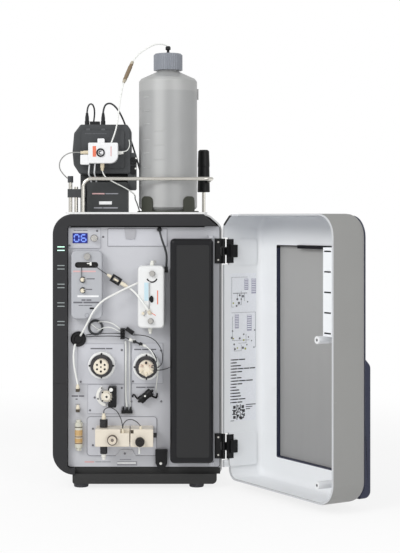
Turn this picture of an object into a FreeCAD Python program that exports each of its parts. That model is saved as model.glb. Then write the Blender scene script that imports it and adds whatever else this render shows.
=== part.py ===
import FreeCAD, Part
import math
import os

V = FreeCAD.Vector

# A benchtop ion chromatograph with its front door open, in millimetres.
# X runs to the right, Y to the back and Z up; the origin lies on the bench
# under the middle of the cabinet.

# Cabinet
CABINET_WIDTH = 352.0
CABINET_DEPTH = 460.0
BODY_HEIGHT = 542.0
FOOT_HEIGHT = 9.0
FOOT_RADIUS = 16.0
PLINTH_HEIGHT = 19.0
CASING_WALL = 3.5
BEZEL_DEPTH = 18.0
BEZEL_SIDE = 30.4
BEZEL_BAND = 24.6
TOP_CORNER = 42.0
BOTTOM_CORNER = 46.0
HINGE_CORNER = 12.0
CHAMFER_WIDTH = 28.0
CHAMFER_HEIGHT = 24.0
CHAMFER_ROUND = 24.0
RECESS_HEIGHT = 13.6
FASCIA_THICKNESS = 2.0
FASCIA_CORNER = 6.0
TOP_COVER_THICKNESS = 4.0
REAR_PANEL_THICKNESS = 3.0

# Running gaps
MOVING_GAP = 0.3
PIN_GAP = 0.05

# Door, drawn shut and then swung open
DOOR_OPEN_ANGLE = 121.0
DOOR_DEPTH = 86.0
DOOR_HINGE_WALL = 15.5
DOOR_FRONT_WALL = 8.5
DOOR_WALL = 4.0
DOOR_CORNER = 44.0
DOOR_EDGE_ROUND = 20.0
DOOR_BOTTOM_GAP = 1.5
DOOR_FACE_GAP = 0.5
WINDOW_HINGE_MARGIN = 66.0
WINDOW_FREE_MARGIN = 58.0
WINDOW_BOTTOM = 66.0
WINDOW_TOP = 506.0
FRONT_PANEL_THICKNESS = 2.5
APRON_DEPTH = 20.0
APRON_TOP = 279.0
APRON_SLOPE = 16.0
SEAL_THICKNESS = 2.0

# Door hinge
HINGE_OUTSIDE = 3.0
HINGE_BEHIND_FRONT = 11.0
KNUCKLE_RADIUS = 4.0
HINGE_PIN_RADIUS = 2.0
HINGE_HEIGHT = 52.0
HINGE_BOTTOMS = (60.5, 467.0)
LEAF_THICKNESS = 3.0

# Column cover and oven
COVER_LEFT = 68.0
COVER_RIGHT = 157.2
COVER_BOTTOM = 57.0
COVER_TOP = 519.0
COVER_DEPTH = 47.0
COVER_WALL = 3.0
COVER_ROUND = 8.0
COVER_PIVOT_FORWARD = 26.0
COVER_PIVOT_INSET = 4.7
COVER_PIVOT_RADIUS = 2.5
OVEN_DEPTH = 62.0
OVEN_WALL = 3.0
OVEN_MARGIN = 8.0
COLUMN_RADIUS = 8.0

# Modules on the fascia
PLATE_THICKNESS = 1.5
DETECTOR_DEPTH = 24.0
SUPPRESSOR_DEPTH = 32.0
HEAD_DEPTH = 56.0
VALVE_RADIUS = 27.8
VALVE_BODY_RADIUS = 23.0
STATOR_RADIUS = 15.5
LINE_RADIUS = 2.0
CAPILLARY_RADIUS = 0.9

# Top of the cabinet
RAIL_RADIUS = 3.75
RAIL_HEIGHT = 71.0
RAIL_BEND = 18.0
BOTTLE_X = 64.0
BOTTLE_BEHIND_FRONT = 133.0
BOTTLE_RADIUS = 63.0
BOTTLE_WALL = 1.6
BOTTLE_SHOULDER = 280.0
BOTTLE_NECK_BASE = 301.0
BOTTLE_NECK_RADIUS = 23.0
BOTTLE_HEIGHT = 331.0
LIQUID_HEIGHT = 258.0
CAP_RADIUS = 31.3
CAP_HEIGHT = 35.8
CAP_RIBS = 44
HOLDER_FLOOR = 3.0
HOLDER_WALL = 3.0

# Planes worked out from the sizes above
HALF_WIDTH = CABINET_WIDTH / 2
HINGE_X = HALF_WIDTH + HINGE_OUTSIDE
FRONT = -CABINET_DEPTH / 2
HINGE_Y = FRONT + HINGE_BEHIND_FRONT
REAR = CABINET_DEPTH / 2
BOTTLE_Y = FRONT + BOTTLE_BEHIND_FRONT
BODY_BOTTOM = FOOT_HEIGHT + PLINTH_HEIGHT
BODY_TOP = BODY_BOTTOM + BODY_HEIGHT
CASING_FRONT = FRONT + BEZEL_DEPTH
FASCIA = CASING_FRONT - FASCIA_THICKNESS
FASCIA_LEFT = -HALF_WIDTH + BEZEL_SIDE
FASCIA_RIGHT = HALF_WIDTH - CASING_WALL
FASCIA_TOP = BODY_TOP - BEZEL_BAND
FASCIA_BOTTOM = BODY_BOTTOM + RECESS_HEIGHT
TOP_SEAT = BODY_TOP + TOP_COVER_THICKNESS
PLATE_FRONT = FASCIA - PLATE_THICKNESS


# Shapes that many pieces share

def box(x0, x1, y0, y1, z0, z1):
    return Part.makeBox(x1 - x0, y1 - y0, z1 - z0, V(x0, y0, z0))


def rod(start, end, radius):
    """A round bar from one point to another."""
    start, end = V(*start), V(*end)
    run = end - start
    return Part.makeCylinder(radius, run.Length, start, run)


def rod_y(x, z, radius, front, back):
    return rod((x, front, z), (x, back, z), radius)


def rod_z(x, y, radius, bottom, top):
    return rod((x, y, bottom), (x, y, top), radius)


def cut(shape, *tools):
    for tool in tools:
        shape = shape.cut(tool)
    return shape


def fuse(shape, *others):
    for other in others:
        shape = shape.fuse(other)
    return shape.removeSplitter()


def rounded_wire(corners, place):
    """A closed outline of (u, v, radius) corners; place() puts a flat point in space."""
    edges = []
    ends = []
    count = len(corners)
    for i, (u, v, radius) in enumerate(corners):
        here = V(u, v, 0)
        before = V(*corners[i - 1][:2], 0) - here
        after = V(*corners[(i + 1) % count][:2], 0) - here
        before.normalize()
        after.normalize()
        if radius <= 0:
            ends.append((here, None, here))
            continue
        half = before.getAngle(after) / 2
        reach = radius / math.tan(half)
        middle = before + after
        middle.normalize()
        arc_middle = here + middle * (radius / math.sin(half) - radius)
        ends.append((here + before * reach, arc_middle, here + after * reach))
    for i, (start, arc_middle, end) in enumerate(ends):
        if arc_middle is not None:
            edges.append(Part.Arc(place(start), place(arc_middle), place(end)).toShape())
        following = ends[(i + 1) % count][0]
        if (following - end).Length > 1e-6:
            edges.append(Part.LineSegment(place(end), place(following)).toShape())
    return Part.Wire(edges)


def front_slab(corners, y0, y1):
    """An outline seen from the front, (x, z, radius), made as thick as y0 to y1."""
    wire = rounded_wire(corners, lambda p: V(p.x, y0, p.y))
    return Part.Face(wire).extrude(V(0, y1 - y0, 0))


def plan_slab(corners, z0, z1):
    """An outline seen from above, (x, y, radius), made as tall as z0 to z1."""
    wire = rounded_wire(corners, lambda p: V(p.x, p.y, z0))
    return Part.Face(wire).extrude(V(0, 0, z1 - z0))


def side_slab(corners, x0, x1):
    """An outline seen from the side, (y, z, radius), made as wide as x0 to x1."""
    wire = rounded_wire(corners, lambda p: V(x0, p.x, p.y))
    return Part.Face(wire).extrude(V(x1 - x0, 0, 0))


def rectangle(u0, u1, v0, v1, radius):
    return [(u0, v0, radius), (u1, v0, radius), (u1, v1, radius), (u0, v1, radius)]


def plate(x0, x1, z0, z1, thickness, radius=2.0, seat=None):
    """A flat plate on the fascia, or on the plane given as its seat."""
    seat = FASCIA if seat is None else seat
    return front_slab(rectangle(x0, x1, z0, z1, radius), seat - thickness, seat)


def turned(profile, base, direction):
    """A turned piece: (radius, height) points from the axis and back, set on a base point."""
    points = [V(r, 0, h) for r, h in profile]
    face = Part.Face(Part.makePolygon(points + [points[0]]))
    solid = face.revolve(V(0, 0, 0), V(0, 0, 1), 360)
    turn = FreeCAD.Rotation(V(0, 0, 1), V(*direction))
    solid.Placement = FreeCAD.Placement(V(*base), turn)
    return solid


def knob(x, z, radius, length, seat, face_dip=1.0):
    """A round knob with a bevelled rim, standing off its seat towards the front."""
    bevel = 1.0
    rim = radius * 0.62
    profile = [
        (0, 0), (radius, 0), (radius, length - bevel), (radius - bevel, length),
        (rim, length), (rim - 0.5, length - face_dip), (0, length - face_dip),
    ]
    return turned(profile, (x, seat - MOVING_GAP, z), (0, -1, 0))


def round_edges(shape, radius, chosen):
    edges = [edge for edge in shape.Edges if chosen(edge.BoundBox)]
    return shape.makeFillet(radius, edges)


def front_edges(y):
    """Picks the edges that lie in the plane at this depth."""
    return lambda b: abs(b.YMin - y) < 1e-4 and abs(b.YMax - y) < 1e-4


def spread(start, pitch, count):
    return [start + pitch * i for i in range(count)]


BEND_SHARE = 0.45
cord_radii = {}


def tube(points, radius, name=None):
    """A round tube of straight runs and tangent arcs, each arc as large as its runs allow."""
    points = [V(*p) for p in points]
    edges = []
    bends = []
    here = points[0]
    for a, b, c in zip(points, points[1:], points[2:]):
        back, ahead = a - b, c - b
        reach = BEND_SHARE * min(back.Length, ahead.Length)
        back.normalize()
        ahead.normalize()
        half = back.getAngle(ahead) / 2
        bend = reach * math.tan(half)
        middle = back + ahead
        middle.normalize()
        top = b + middle * (bend / math.sin(half) - bend)
        start, end = b + back * reach, b + ahead * reach
        edges.append(Part.LineSegment(here, start).toShape())
        edges.append(Part.Arc(start, top, end).toShape())
        bends.append(bend)
        here = end
    edges.append(Part.LineSegment(here, points[-1]).toShape())
    path = Part.Wire(edges)
    ring = Part.Circle(points[0], points[1] - points[0], radius).toShape()
    solid = path.makePipeShell([Part.Wire([ring])], True, False)
    if name:
        cord_radii[name] = (min(bends) / (2 * radius), path.Length)
    wanted = math.pi * radius ** 2 * path.Length
    if abs(solid.Volume / wanted - 1) > 0.01:
        print("tube volume is off:", name, solid.Volume / wanted)
    return solid


def bent_rod(points, radius, bend):
    """A steel rod bent to one radius at each point."""
    points = [V(*p) for p in points]
    edges = []
    here = points[0]
    for a, b, c in zip(points, points[1:], points[2:]):
        back, ahead = a - b, c - b
        back.normalize()
        ahead.normalize()
        half = back.getAngle(ahead) / 2
        reach = bend / math.tan(half)
        middle = back + ahead
        middle.normalize()
        top = b + middle * (bend / math.sin(half) - bend)
        start, end = b + back * reach, b + ahead * reach
        edges.append(Part.LineSegment(here, start).toShape())
        edges.append(Part.Arc(start, top, end).toShape())
        here = end
    edges.append(Part.LineSegment(here, points[-1]).toShape())
    ring = Part.Circle(points[0], points[1] - points[0], radius).toShape()
    return Part.Wire(edges).makePipeShell([Part.Wire([ring])], True, False)


# Cabinet

def body_corners(inset):
    """The cabinet's outline from the front, drawn in by a wall."""
    flat = math.atan2(CHAMFER_HEIGHT, CHAMFER_WIDTH)
    steep = math.pi / 2 - flat
    side = HALF_WIDTH - inset
    top = BODY_TOP - inset
    bottom = BODY_BOTTOM + inset
    chamfer_x = HALF_WIDTH - CHAMFER_WIDTH - inset * math.tan(flat / 2)
    chamfer_z = BODY_TOP - CHAMFER_HEIGHT - inset * math.tan(steep / 2)
    return [
        (-side, bottom, BOTTOM_CORNER - inset),
        (-side, top, TOP_CORNER - inset),
        (chamfer_x, top, CHAMFER_ROUND - inset),
        (side, chamfer_z, CHAMFER_ROUND - inset),
        (side, bottom, HINGE_CORNER - inset),
    ]


def cabinet_casing():
    outer = front_slab(body_corners(0), CASING_FRONT, REAR)
    inner = front_slab(body_corners(CASING_WALL), CASING_FRONT, REAR)
    return cut(outer, inner)


BEZEL_FRONT_ROUND = 3.0
BEZEL_SEAM_HEIGHT = 217.6
BEZEL_END_GAP = 3.0
SEAM = 1.2


def bezel_end(z):
    """Where the bezel's slanted right end lies at a height, clear of the shut door's wall."""
    slope = CHAMFER_WIDTH / CHAMFER_HEIGHT
    diagonal = math.hypot(CHAMFER_WIDTH, CHAMFER_HEIGHT)
    clear = (DOOR_WALL + BEZEL_END_GAP) * diagonal / CHAMFER_HEIGHT
    return HALF_WIDTH - CHAMFER_WIDTH - clear + (BODY_TOP - z) * slope


def front_bezel():
    end_of_sill = -HALF_WIDTH + BOTTOM_CORNER
    corners = [
        (bezel_end(FASCIA_TOP), FASCIA_TOP, 0),
        (bezel_end(BODY_TOP), BODY_TOP, 0),
        (-HALF_WIDTH, BODY_TOP, TOP_CORNER),
        (-HALF_WIDTH, BODY_BOTTOM, BOTTOM_CORNER - 0.01),
        (end_of_sill, BODY_BOTTOM, 0),
        (end_of_sill, FASCIA_BOTTOM, 0),
        (FASCIA_LEFT, FASCIA_BOTTOM, FASCIA_CORNER),
        (FASCIA_LEFT, FASCIA_TOP, FASCIA_CORNER),
    ]
    bezel = front_slab(corners, FRONT, CASING_FRONT)
    outer = [
        edge for edge in bezel.Edges
        if front_edges(FRONT)(edge.BoundBox)
        and (edge.BoundBox.XMin < -HALF_WIDTH + 1 or edge.BoundBox.ZMax > BODY_TOP - 1)
    ]
    bezel = bezel.makeFillet(BEZEL_FRONT_ROUND, outer)
    seam = box(-HALF_WIDTH - 1, FASCIA_LEFT + 1, FRONT - 1, FRONT + 0.8,
               BEZEL_SEAM_HEIGHT, BEZEL_SEAM_HEIGHT + SEAM)
    return cut(bezel, seam)


KNOB_SHAFT = 3.0
DISPLAY_KNOB = (-90.0, 519.7)
WASTE_KNOB = (-50.4, 107.7)
PRIMING_KNOB = (6.0, 104.0)
WASH_ROTOR = (-63.5, 191.7)
SHAFT_LENGTH = 12.0


def shaft_hole(centre, radius=KNOB_SHAFT):
    x, z = centre
    return rod_y(x, z, radius + MOVING_GAP, FRONT - 60, CASING_FRONT + 1)


def oven_window():
    return (COVER_LEFT + OVEN_MARGIN, COVER_RIGHT - OVEN_MARGIN,
            COVER_BOTTOM + OVEN_MARGIN, COVER_TOP - OVEN_MARGIN)


def fascia_panel():
    corners = [
        (FASCIA_LEFT, FASCIA_BOTTOM, FASCIA_CORNER),
        (FASCIA_LEFT, FASCIA_TOP, FASCIA_CORNER),
        (FASCIA_RIGHT, FASCIA_TOP, 0),
        (FASCIA_RIGHT, FASCIA_BOTTOM, 0),
    ]
    panel = front_slab(corners, FASCIA, CASING_FRONT)
    x0, x1, z0, z1 = oven_window()
    window = front_slab(rectangle(x0, x1, z0, z1, 4), FASCIA - 1, CASING_FRONT + 1)
    panel = cut(panel, window, shaft_hole(DISPLAY_KNOB), shaft_hole(WASH_ROTOR))
    return fuse(panel, *cover_lugs())


PLINTH_LEFT = -135.0
PLINTH_RIGHT = 165.0
PLINTH_FRONT = FRONT + 4
PLINTH_BACK = REAR - 8
PLINTH_BEVEL = 5.0


def base_plinth():
    corners = [
        (PLINTH_LEFT, FOOT_HEIGHT, PLINTH_BEVEL),
        (PLINTH_RIGHT, FOOT_HEIGHT, 2 * PLINTH_BEVEL),
        (PLINTH_RIGHT, BODY_BOTTOM, 1),
        (PLINTH_LEFT, BODY_BOTTOM, 1),
    ]
    block = front_slab(corners, PLINTH_FRONT, PLINTH_BACK)
    sill = box(-HALF_WIDTH + BOTTOM_CORNER, FASCIA_RIGHT,
               FASCIA + 0.5, CASING_FRONT, BODY_BOTTOM, FASCIA_BOTTOM)
    lip = box(-HALF_WIDTH + BOTTOM_CORNER, PLINTH_RIGHT,
              PLINTH_FRONT, PLINTH_FRONT + 3, BODY_BOTTOM, BODY_BOTTOM + 2)
    return fuse(block, sill, lip)


FOOT_X = (-118.0, 123.5)
FOOT_Y = (FRONT + 26, REAR - 40)


def feet():
    profile = [
        (0, 0), (FOOT_RADIUS - 2, 0), (FOOT_RADIUS - 1, 1),
        (FOOT_RADIUS, FOOT_HEIGHT), (0, FOOT_HEIGHT),
    ]
    return Part.makeCompound([
        turned(profile, (x, y, 0), (0, 0, 1)) for x in FOOT_X for y in FOOT_Y
    ])


def top_cover():
    corners = rectangle(-HALF_WIDTH + 25, HALF_WIDTH - 30, FRONT + 24, REAR - 6, 12)
    return plan_slab(corners, BODY_TOP, TOP_SEAT)


# Rear panel, fan, inlet and switch

FAN = (-70.0, 400.0)
FAN_RADIUS = 44.0
FAN_DEPTH = 24.0
FAN_HUB = 17.0
FAN_PIN = 2.0
FAN_SLOT = 5.0
FAN_SLOT_PITCH = 9.0
INLET = (110.0, 92.0)
SWITCH = (110.0, 140.0)
ROCKER_RADIUS = 8.0
ROCKER_LENGTH = 20.0
ROCKER_PIN = 1.5
ROCKER_EAR = 3.0
PORT_ROW = 330.0


def fan_grille():
    x, z = FAN
    slots = []
    count = int(2 * (FAN_RADIUS - 6) / FAN_SLOT_PITCH)
    for step in spread(-(count - 1) / 2, 1, count):
        offset = step * FAN_SLOT_PITCH
        reach = math.sqrt((FAN_RADIUS - 3) ** 2 - (abs(offset) + FAN_SLOT / 2) ** 2)
        slots.append(box(x - reach, x + reach, REAR - 10, REAR + 1,
                         z + offset - FAN_SLOT / 2, z + offset + FAN_SLOT / 2))
    return slots


def rear_panel():
    inside = REAR - REAR_PANEL_THICKNESS
    panel = front_slab(body_corners(CASING_WALL), inside, REAR)
    panel = cut(panel, *fan_grille())
    x, z = FAN
    ring = cut(rod_y(x, z, FAN_RADIUS + 3, inside - FAN_DEPTH, inside),
               rod_y(x, z, FAN_RADIUS, inside - FAN_DEPTH - 1, inside + 1))
    spider = rod_y(x, z, FAN_HUB, inside - 3, inside)
    pin = rod_y(x, z, FAN_PIN, inside - FAN_DEPTH, inside)
    sx, sz = SWITCH
    half = ROCKER_LENGTH / 2
    axis_y = REAR - ROCKER_RADIUS / 2
    opening = box(sx - half - 1, sx + half + 1, inside - 1, REAR + 1,
                  sz - ROCKER_RADIUS - 0.5, sz + ROCKER_RADIUS + 0.5)
    panel = cut(panel, opening)
    ears = []
    for side in (-1, 1):
        near = sx + side * (half + 1)
        far = near + side * ROCKER_EAR
        ears.append(box(min(near, far), max(near, far), axis_y - 4, REAR, sz - 6, sz + 6))
    pin_hole = rod((sx - half - 9, axis_y, sz), (sx + half + 9, axis_y, sz),
                   ROCKER_PIN + PIN_GAP)
    ix, iz = INLET
    cup = cut(box(ix - 14, ix + 14, inside - 16, inside, iz - 11, iz + 11),
              box(ix - 12, ix + 12, inside - 14, inside + 1, iz - 9, iz + 9))
    mouth = box(ix - 12, ix + 12, inside - 1, REAR + 1, iz - 9, iz + 9)
    blades = [box(ix + dx - 1, ix + dx + 1, inside - 15, REAR - 6, iz + dz - 3, iz + dz + 3)
              for dx, dz in ((-6, -1), (0, 2), (6, -1))]
    panel = fuse(cut(panel, mouth), ring, spider, pin, cup, *ears, *blades)
    ports = [box(px, px + 14, REAR - 2, REAR + 1, PORT_ROW, PORT_ROW + 12)
             for px in spread(60, 24, 3)]
    ribs = [box(-140, 40, REAR - 1, REAR + 1, rz, rz + 3) for rz in spread(120, 12, 8)]
    return cut(panel, pin_hole, *ports, *ribs)


def fan_rotor():
    x, z = FAN
    back = REAR - REAR_PANEL_THICKNESS - 3 - 1
    front = back - FAN_DEPTH + 6
    hub = rod_y(x, z, FAN_HUB, front, back)
    blades = []
    for i in range(7):
        blade = box(FAN_HUB - 2, FAN_RADIUS - 2, -1, 1, -(back - front) / 2 + 1,
                    (back - front) / 2 - 1)
        blade.rotate(V(0, 0, 0), V(1, 0, 0), 35)
        blade.rotate(V(0, 0, 0), V(0, 0, 1), 360 / 7 * i)
        blade.rotate(V(0, 0, 0), V(1, 0, 0), 90)
        blade.translate(V(x, (front + back) / 2, z))
        blades.append(blade)
    bore = rod_y(x, z, FAN_PIN + PIN_GAP, front - 1, back + 1)
    return cut(fuse(hub, *blades), bore)


def power_rocker():
    x, z = SWITCH
    y = REAR - ROCKER_RADIUS / 2
    half = ROCKER_LENGTH / 2
    drum = rod((x - half, y, z), (x + half, y, z), ROCKER_RADIUS)
    pin = rod((x - half - 3, y, z), (x + half + 3, y, z), ROCKER_PIN)
    notch = side_slab([(y + 9, z + 9, 0), (y + 4.5, z, 1.0), (y + 9, z - 9, 0)],
                      x - half - 1, x + half + 1)
    back = box(x - half - 1, x + half + 1, y - 9, y - 4, z - 9, z + 9)
    return fuse(cut(drum, notch, back), pin)


# Column oven, columns and the cover in front of them

COLUMN_X = 96.0
COLUMN_BACK = 22.0
SEPARATOR = (120.0, 370.0)
GUARD = (392.0, 442.0)
CLIP_HEIGHTS = (150.0, 335.0, 412.0)


def column_axis():
    return FASCIA + COLUMN_BACK


def column_oven():
    x0, x1, z0, z1 = oven_window()
    back = CASING_FRONT + OVEN_DEPTH
    shell = cut(
        box(x0 - OVEN_WALL, x1 + OVEN_WALL, CASING_FRONT, back, z0 - OVEN_WALL, z1 + OVEN_WALL),
        front_slab(rectangle(x0, x1, z0, z1, 4), CASING_FRONT - 1, back - OVEN_WALL))
    y = column_axis()
    clips = []
    for height in CLIP_HEIGHTS:
        block = box(COLUMN_X - 11, COLUMN_X + 11, y - 4, back - OVEN_WALL,
                    height - 6, height + 6)
        clips.append(cut(block, rod_z(COLUMN_X, y, COLUMN_RADIUS, height - 7, height + 7)))
    return fuse(shell, *clips)


def column(bottom, top):
    """A packed column: a plain barrel with a hexagon nut at each end."""
    y = column_axis()
    barrel = rod_z(COLUMN_X, y, COLUMN_RADIUS, bottom, top)
    nuts = []
    for z in (bottom - 10, top):
        points = [V(COLUMN_X + 6.5 * math.cos(i * math.pi / 3),
                    y + 6.5 * math.sin(i * math.pi / 3), z) for i in range(7)]
        nuts.append(Part.Face(Part.makePolygon(points)).extrude(V(0, 0, 10)))
    return fuse(barrel, *nuts)


def columns():
    return Part.makeCompound([column(*SEPARATOR), column(*GUARD)])


def cover_pivot():
    return COVER_RIGHT - COVER_PIVOT_INSET, FASCIA - COVER_PIVOT_FORWARD


COVER_STAND = 1.0
PANEL_RAISE = 1.5


def column_cover():
    back = FASCIA - COVER_STAND
    front = back - COVER_DEPTH
    corners = rectangle(COVER_LEFT, COVER_RIGHT, COVER_BOTTOM, COVER_TOP, 9)
    outer = round_edges(front_slab(corners, front, back), COVER_ROUND, front_edges(front))
    inner_corners = rectangle(COVER_LEFT + COVER_WALL, COVER_RIGHT - COVER_WALL,
                              COVER_BOTTOM + COVER_WALL, COVER_TOP - COVER_WALL, 6)
    inner = round_edges(front_slab(inner_corners, front + COVER_WALL, back + 1), 5,
                        front_edges(front + COVER_WALL))
    raised = front_slab(
        rectangle(COVER_LEFT + 13, COVER_RIGHT - 9, COVER_BOTTOM + 13, COVER_TOP - 13, 4),
        front - PANEL_RAISE, front)
    x, y = cover_pivot()
    pins = rod_z(x, y, COVER_PIVOT_RADIUS, COVER_BOTTOM - 5, COVER_TOP + 5)
    boss = rod_z(x, y, COVER_PIVOT_INSET, COVER_BOTTOM, COVER_TOP)
    grip = rod_z(COVER_LEFT - 3, back - COVER_DEPTH / 2, 6, 262, 314)
    hollow = cut(outer, inner, grip)
    ends = boss.common(outer)
    keep = [box(x - 9, x + 9, y - 9, y + 9, z0, z1) for z0, z1 in
            ((COVER_BOTTOM, COVER_BOTTOM + 14), (COVER_TOP - 14, COVER_TOP))]
    ends = [ends.common(k) for k in keep]
    stubs = [pins.common(box(x - 9, x + 9, y - 9, y + 9, z0, z1)) for z0, z1 in
             ((COVER_BOTTOM - 5, COVER_BOTTOM + 1), (COVER_TOP - 1, COVER_TOP + 5))]
    return fuse(hollow, raised, *ends, *stubs)


def cover_lugs():
    """The two arms on the fascia that hold the cover's pivots."""
    x, y = cover_pivot()
    lugs = []
    for z0, z1 in ((COVER_BOTTOM - 6.5, COVER_BOTTOM - MOVING_GAP),
                   (COVER_TOP + MOVING_GAP, COVER_TOP + 6.5)):
        arm = plan_slab([(x - 6, FASCIA, 0), (x - 6, y - 6, 5.5), (x + 6, y - 6, 5.5),
                         (x + 6, FASCIA, 0)], z0, z1)
        lugs.append(cut(arm, rod_z(x, y, COVER_PIVOT_RADIUS + PIN_GAP, z0 - 1, z1 + 1)))
    return lugs


# Plates, detector, suppressor

DISPLAY_PLATE = (-144.5, -76.5, 498.2, 541.2)
SERVICE_PANEL = (-62.4, 62.3, 502.6, 539.7)
AUXILIARY_PLATE = (-124.9, -27.1, 215.3, 299.8)
INJECTION_PLATE = (-12.6, 53.5, 216.0, 301.4)
WASH_PLATE = (-104.3, -27.1, 153.4, 214.9)
PUMP_PLATE = (-105.9, 40.8, 65.2, 148.2)
CABLE_GLAND = (45.9, 538.0)
GLAND_RADIUS = 5.0
SCREEN = (-135.3, -103.9, 509.3, 530.3)
TAB = (-15.3, 518.1, 539.0)


def clip_room(edges):
    """The room that a clip on the fascia needs in the plate beside it."""
    x0, x1, z0, z1 = edges
    gap = MOVING_GAP
    return box(x0 - gap, x1 + gap, PLATE_FRONT - 1, FASCIA + 1, z0 - gap, z1 + gap)


def fascia_plates():
    display = cut(plate(*DISPLAY_PLATE, PLATE_THICKNESS, 5), shaft_hole(DISPLAY_KNOB))
    x0, x1, z0, z1 = SCREEN
    screen = plate(x0, x1, z0, z1, 2, 1, PLATE_FRONT)
    x, z0, z1 = TAB
    tab = front_slab([(x - 9, z0, 1), (x + 9, z0, 1), (x + 12.3, z1, 1), (x - 12.3, z1, 1)],
                     PLATE_FRONT - 3, PLATE_FRONT)
    gx, gz = CABLE_GLAND
    notch = rod_y(gx, gz, GLAND_RADIUS + 1.5, PLATE_FRONT - 1, FASCIA + 1)
    service = fuse(cut(plate(*SERVICE_PANEL, PLATE_THICKNESS, 1), notch), tab)
    gx, gz = GROMMET
    grommet_room = rod_y(gx, gz, GROMMET_RADIUS + MOVING_GAP, PLATE_FRONT - 1, FASCIA + 1)
    auxiliary = cut(plate(*AUXILIARY_PLATE, PLATE_THICKNESS, 1), grommet_room)
    injection = plate(*INJECTION_PLATE, PLATE_THICKNESS, 1)
    wash = cut(plate(*WASH_PLATE, PLATE_THICKNESS, 1), shaft_hole(WASH_ROTOR), clip_room(PRONGS))
    pump = cut(plate(*PUMP_PLATE, PLATE_THICKNESS, 8), clip_room(CORNER_CLIP))
    return Part.makeCompound([fuse(display, screen), service, auxiliary, injection, wash, pump])


def display_knob():
    x, z = DISPLAY_KNOB
    shaft = rod_y(x, z, KNOB_SHAFT, PLATE_FRONT - 1, CASING_FRONT + 4)
    return fuse(knob(x, z, 7.5, 12, PLATE_FRONT, 2), shaft)


DETECTOR = (-136.9, -72.6, 353.0, 494.0)
DETECTOR_FRONT = FASCIA - DETECTOR_DEPTH


def detector_module():
    x0, x1, z0, z1 = DETECTOR
    body = front_slab(rectangle(x0, x1, z0, z1, 10), DETECTOR_FRONT, FASCIA)
    body = round_edges(body, 3, front_edges(DETECTOR_FRONT))
    slot = front_slab(rectangle(-129.2, -80.8, 458.6, 470.6, 5.9),
                      DETECTOR_FRONT - 1, DETECTOR_FRONT + 8)
    small = front_slab(rectangle(-99, -89, 372.6, 376.6, 1.9),
                       DETECTOR_FRONT - 1, DETECTOR_FRONT + 4)
    side = box(x0 - 1, x1 + 1, FASCIA - 9, FASCIA - 8, z0 - 1, z1 + 1)
    ring = cut(side, front_slab(rectangle(x0 + 1, x1 - 1, z0 + 1, z1 - 1, 9),
                                FASCIA - 10, FASCIA - 7))
    return cut(body, slot, small, ring)


SUPPRESSOR = (1.1, 56.3, 333.7, 463.3)
SUPPRESSOR_FRONT = FASCIA - SUPPRESSOR_DEPTH


def suppressor_body():
    x0, x1, z0, z1 = SUPPRESSOR
    body = front_slab(rectangle(x0, x1, z0, z1, 9), SUPPRESSOR_FRONT, FASCIA)
    body = round_edges(body, 5, front_edges(SUPPRESSOR_FRONT))
    rib = front_slab(rectangle(13.5, 27, 381, 431, 3),
                     SUPPRESSOR_FRONT - 1.5, SUPPRESSOR_FRONT)
    window = front_slab(rectangle(26, 33.5, 387, 399, 3.7),
                        SUPPRESSOR_FRONT - 1, SUPPRESSOR_FRONT + 2)
    return cut(fuse(body, rib), window)


THUMBSCREW_SEATS = (
    (-103.4, 482.0, 7.0, DETECTOR_FRONT),
    (31.0, 447.0, 6.0, SUPPRESSOR_FRONT),
    (27.7, 349.3, 6.0, SUPPRESSOR_FRONT),
)


def steel_fittings():
    """Thumbscrews on the modules, and the pump's check valves."""
    screws = check_valves()
    for x, z, radius, seat in THUMBSCREW_SEATS:
        profile = [(0, 0), (radius * 0.6, 0), (radius * 0.6, 2), (radius, 2),
                   (radius, 6), (radius - 1, 7), (0, 7)]
        screws.append(turned(profile, (x, seat, z), (0, -1, 0)))
    return Part.makeCompound(screws)


# Valves

VALVES = ((-73.8, 256.9), (19.1, 254.0))
VALVE_COLLAR_DEPTH = 29.0
VALVE_BODY_DEPTH = 36.0
STATOR_DEPTH = 58.0
PORT_CIRCLE = 9.0
PORT_COUNT = 6


def valve_collar(x, z):
    """White outer ring and the notched dark body inside it."""
    seat = PLATE_FRONT
    lip = VALVE_COLLAR_DEPTH
    ring = turned([(VALVE_BODY_RADIUS, 0), (VALVE_RADIUS, 0), (VALVE_RADIUS, lip - 2),
                   (VALVE_RADIUS - 2, lip), (VALVE_BODY_RADIUS, lip)],
                  (x, seat, z), (0, -1, 0))
    body = turned([(STATOR_RADIUS, 0), (VALVE_BODY_RADIUS, 0),
                   (VALVE_BODY_RADIUS, VALVE_BODY_DEPTH - 1),
                   (VALVE_BODY_RADIUS - 1, VALVE_BODY_DEPTH),
                   (STATOR_RADIUS, VALVE_BODY_DEPTH)], (x, seat, z), (0, -1, 0))
    front = seat - VALVE_BODY_DEPTH
    for angle in (45, 135, 225, 315):
        reach = VALVE_BODY_RADIUS + 1
        notch = box(STATOR_RADIUS + 3, reach, front - 1, front + 6, -3.5, 3.5)
        notch.rotate(V(0, 0, 0), V(0, 1, 0), angle)
        notch.translate(V(x, 0, z))
        body = cut(body, notch)
    return fuse(ring, body)


def valve_stator(x, z):
    """The cream face with a ring of ports."""
    seat = PLATE_FRONT
    face = STATOR_DEPTH
    disc = turned([(0, 0), (STATOR_RADIUS, 0), (STATOR_RADIUS, face - 2),
                   (STATOR_RADIUS - 2, face), (0, face)], (x, seat, z), (0, -1, 0))
    for i in range(PORT_COUNT):
        angle = math.radians(30 + 60 * i)
        px, pz = x + PORT_CIRCLE * math.cos(angle), z + PORT_CIRCLE * math.sin(angle)
        disc = cut(disc, rod_y(px, pz, 2.3, seat - face - 1, seat - face + 6))
    return disc


def valve_collars():
    return Part.makeCompound([valve_collar(*at) for at in VALVES])


def valve_stators():
    return Part.makeCompound([valve_stator(*at) for at in VALVES])


# Pump heads, wash pump, check valves

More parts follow.
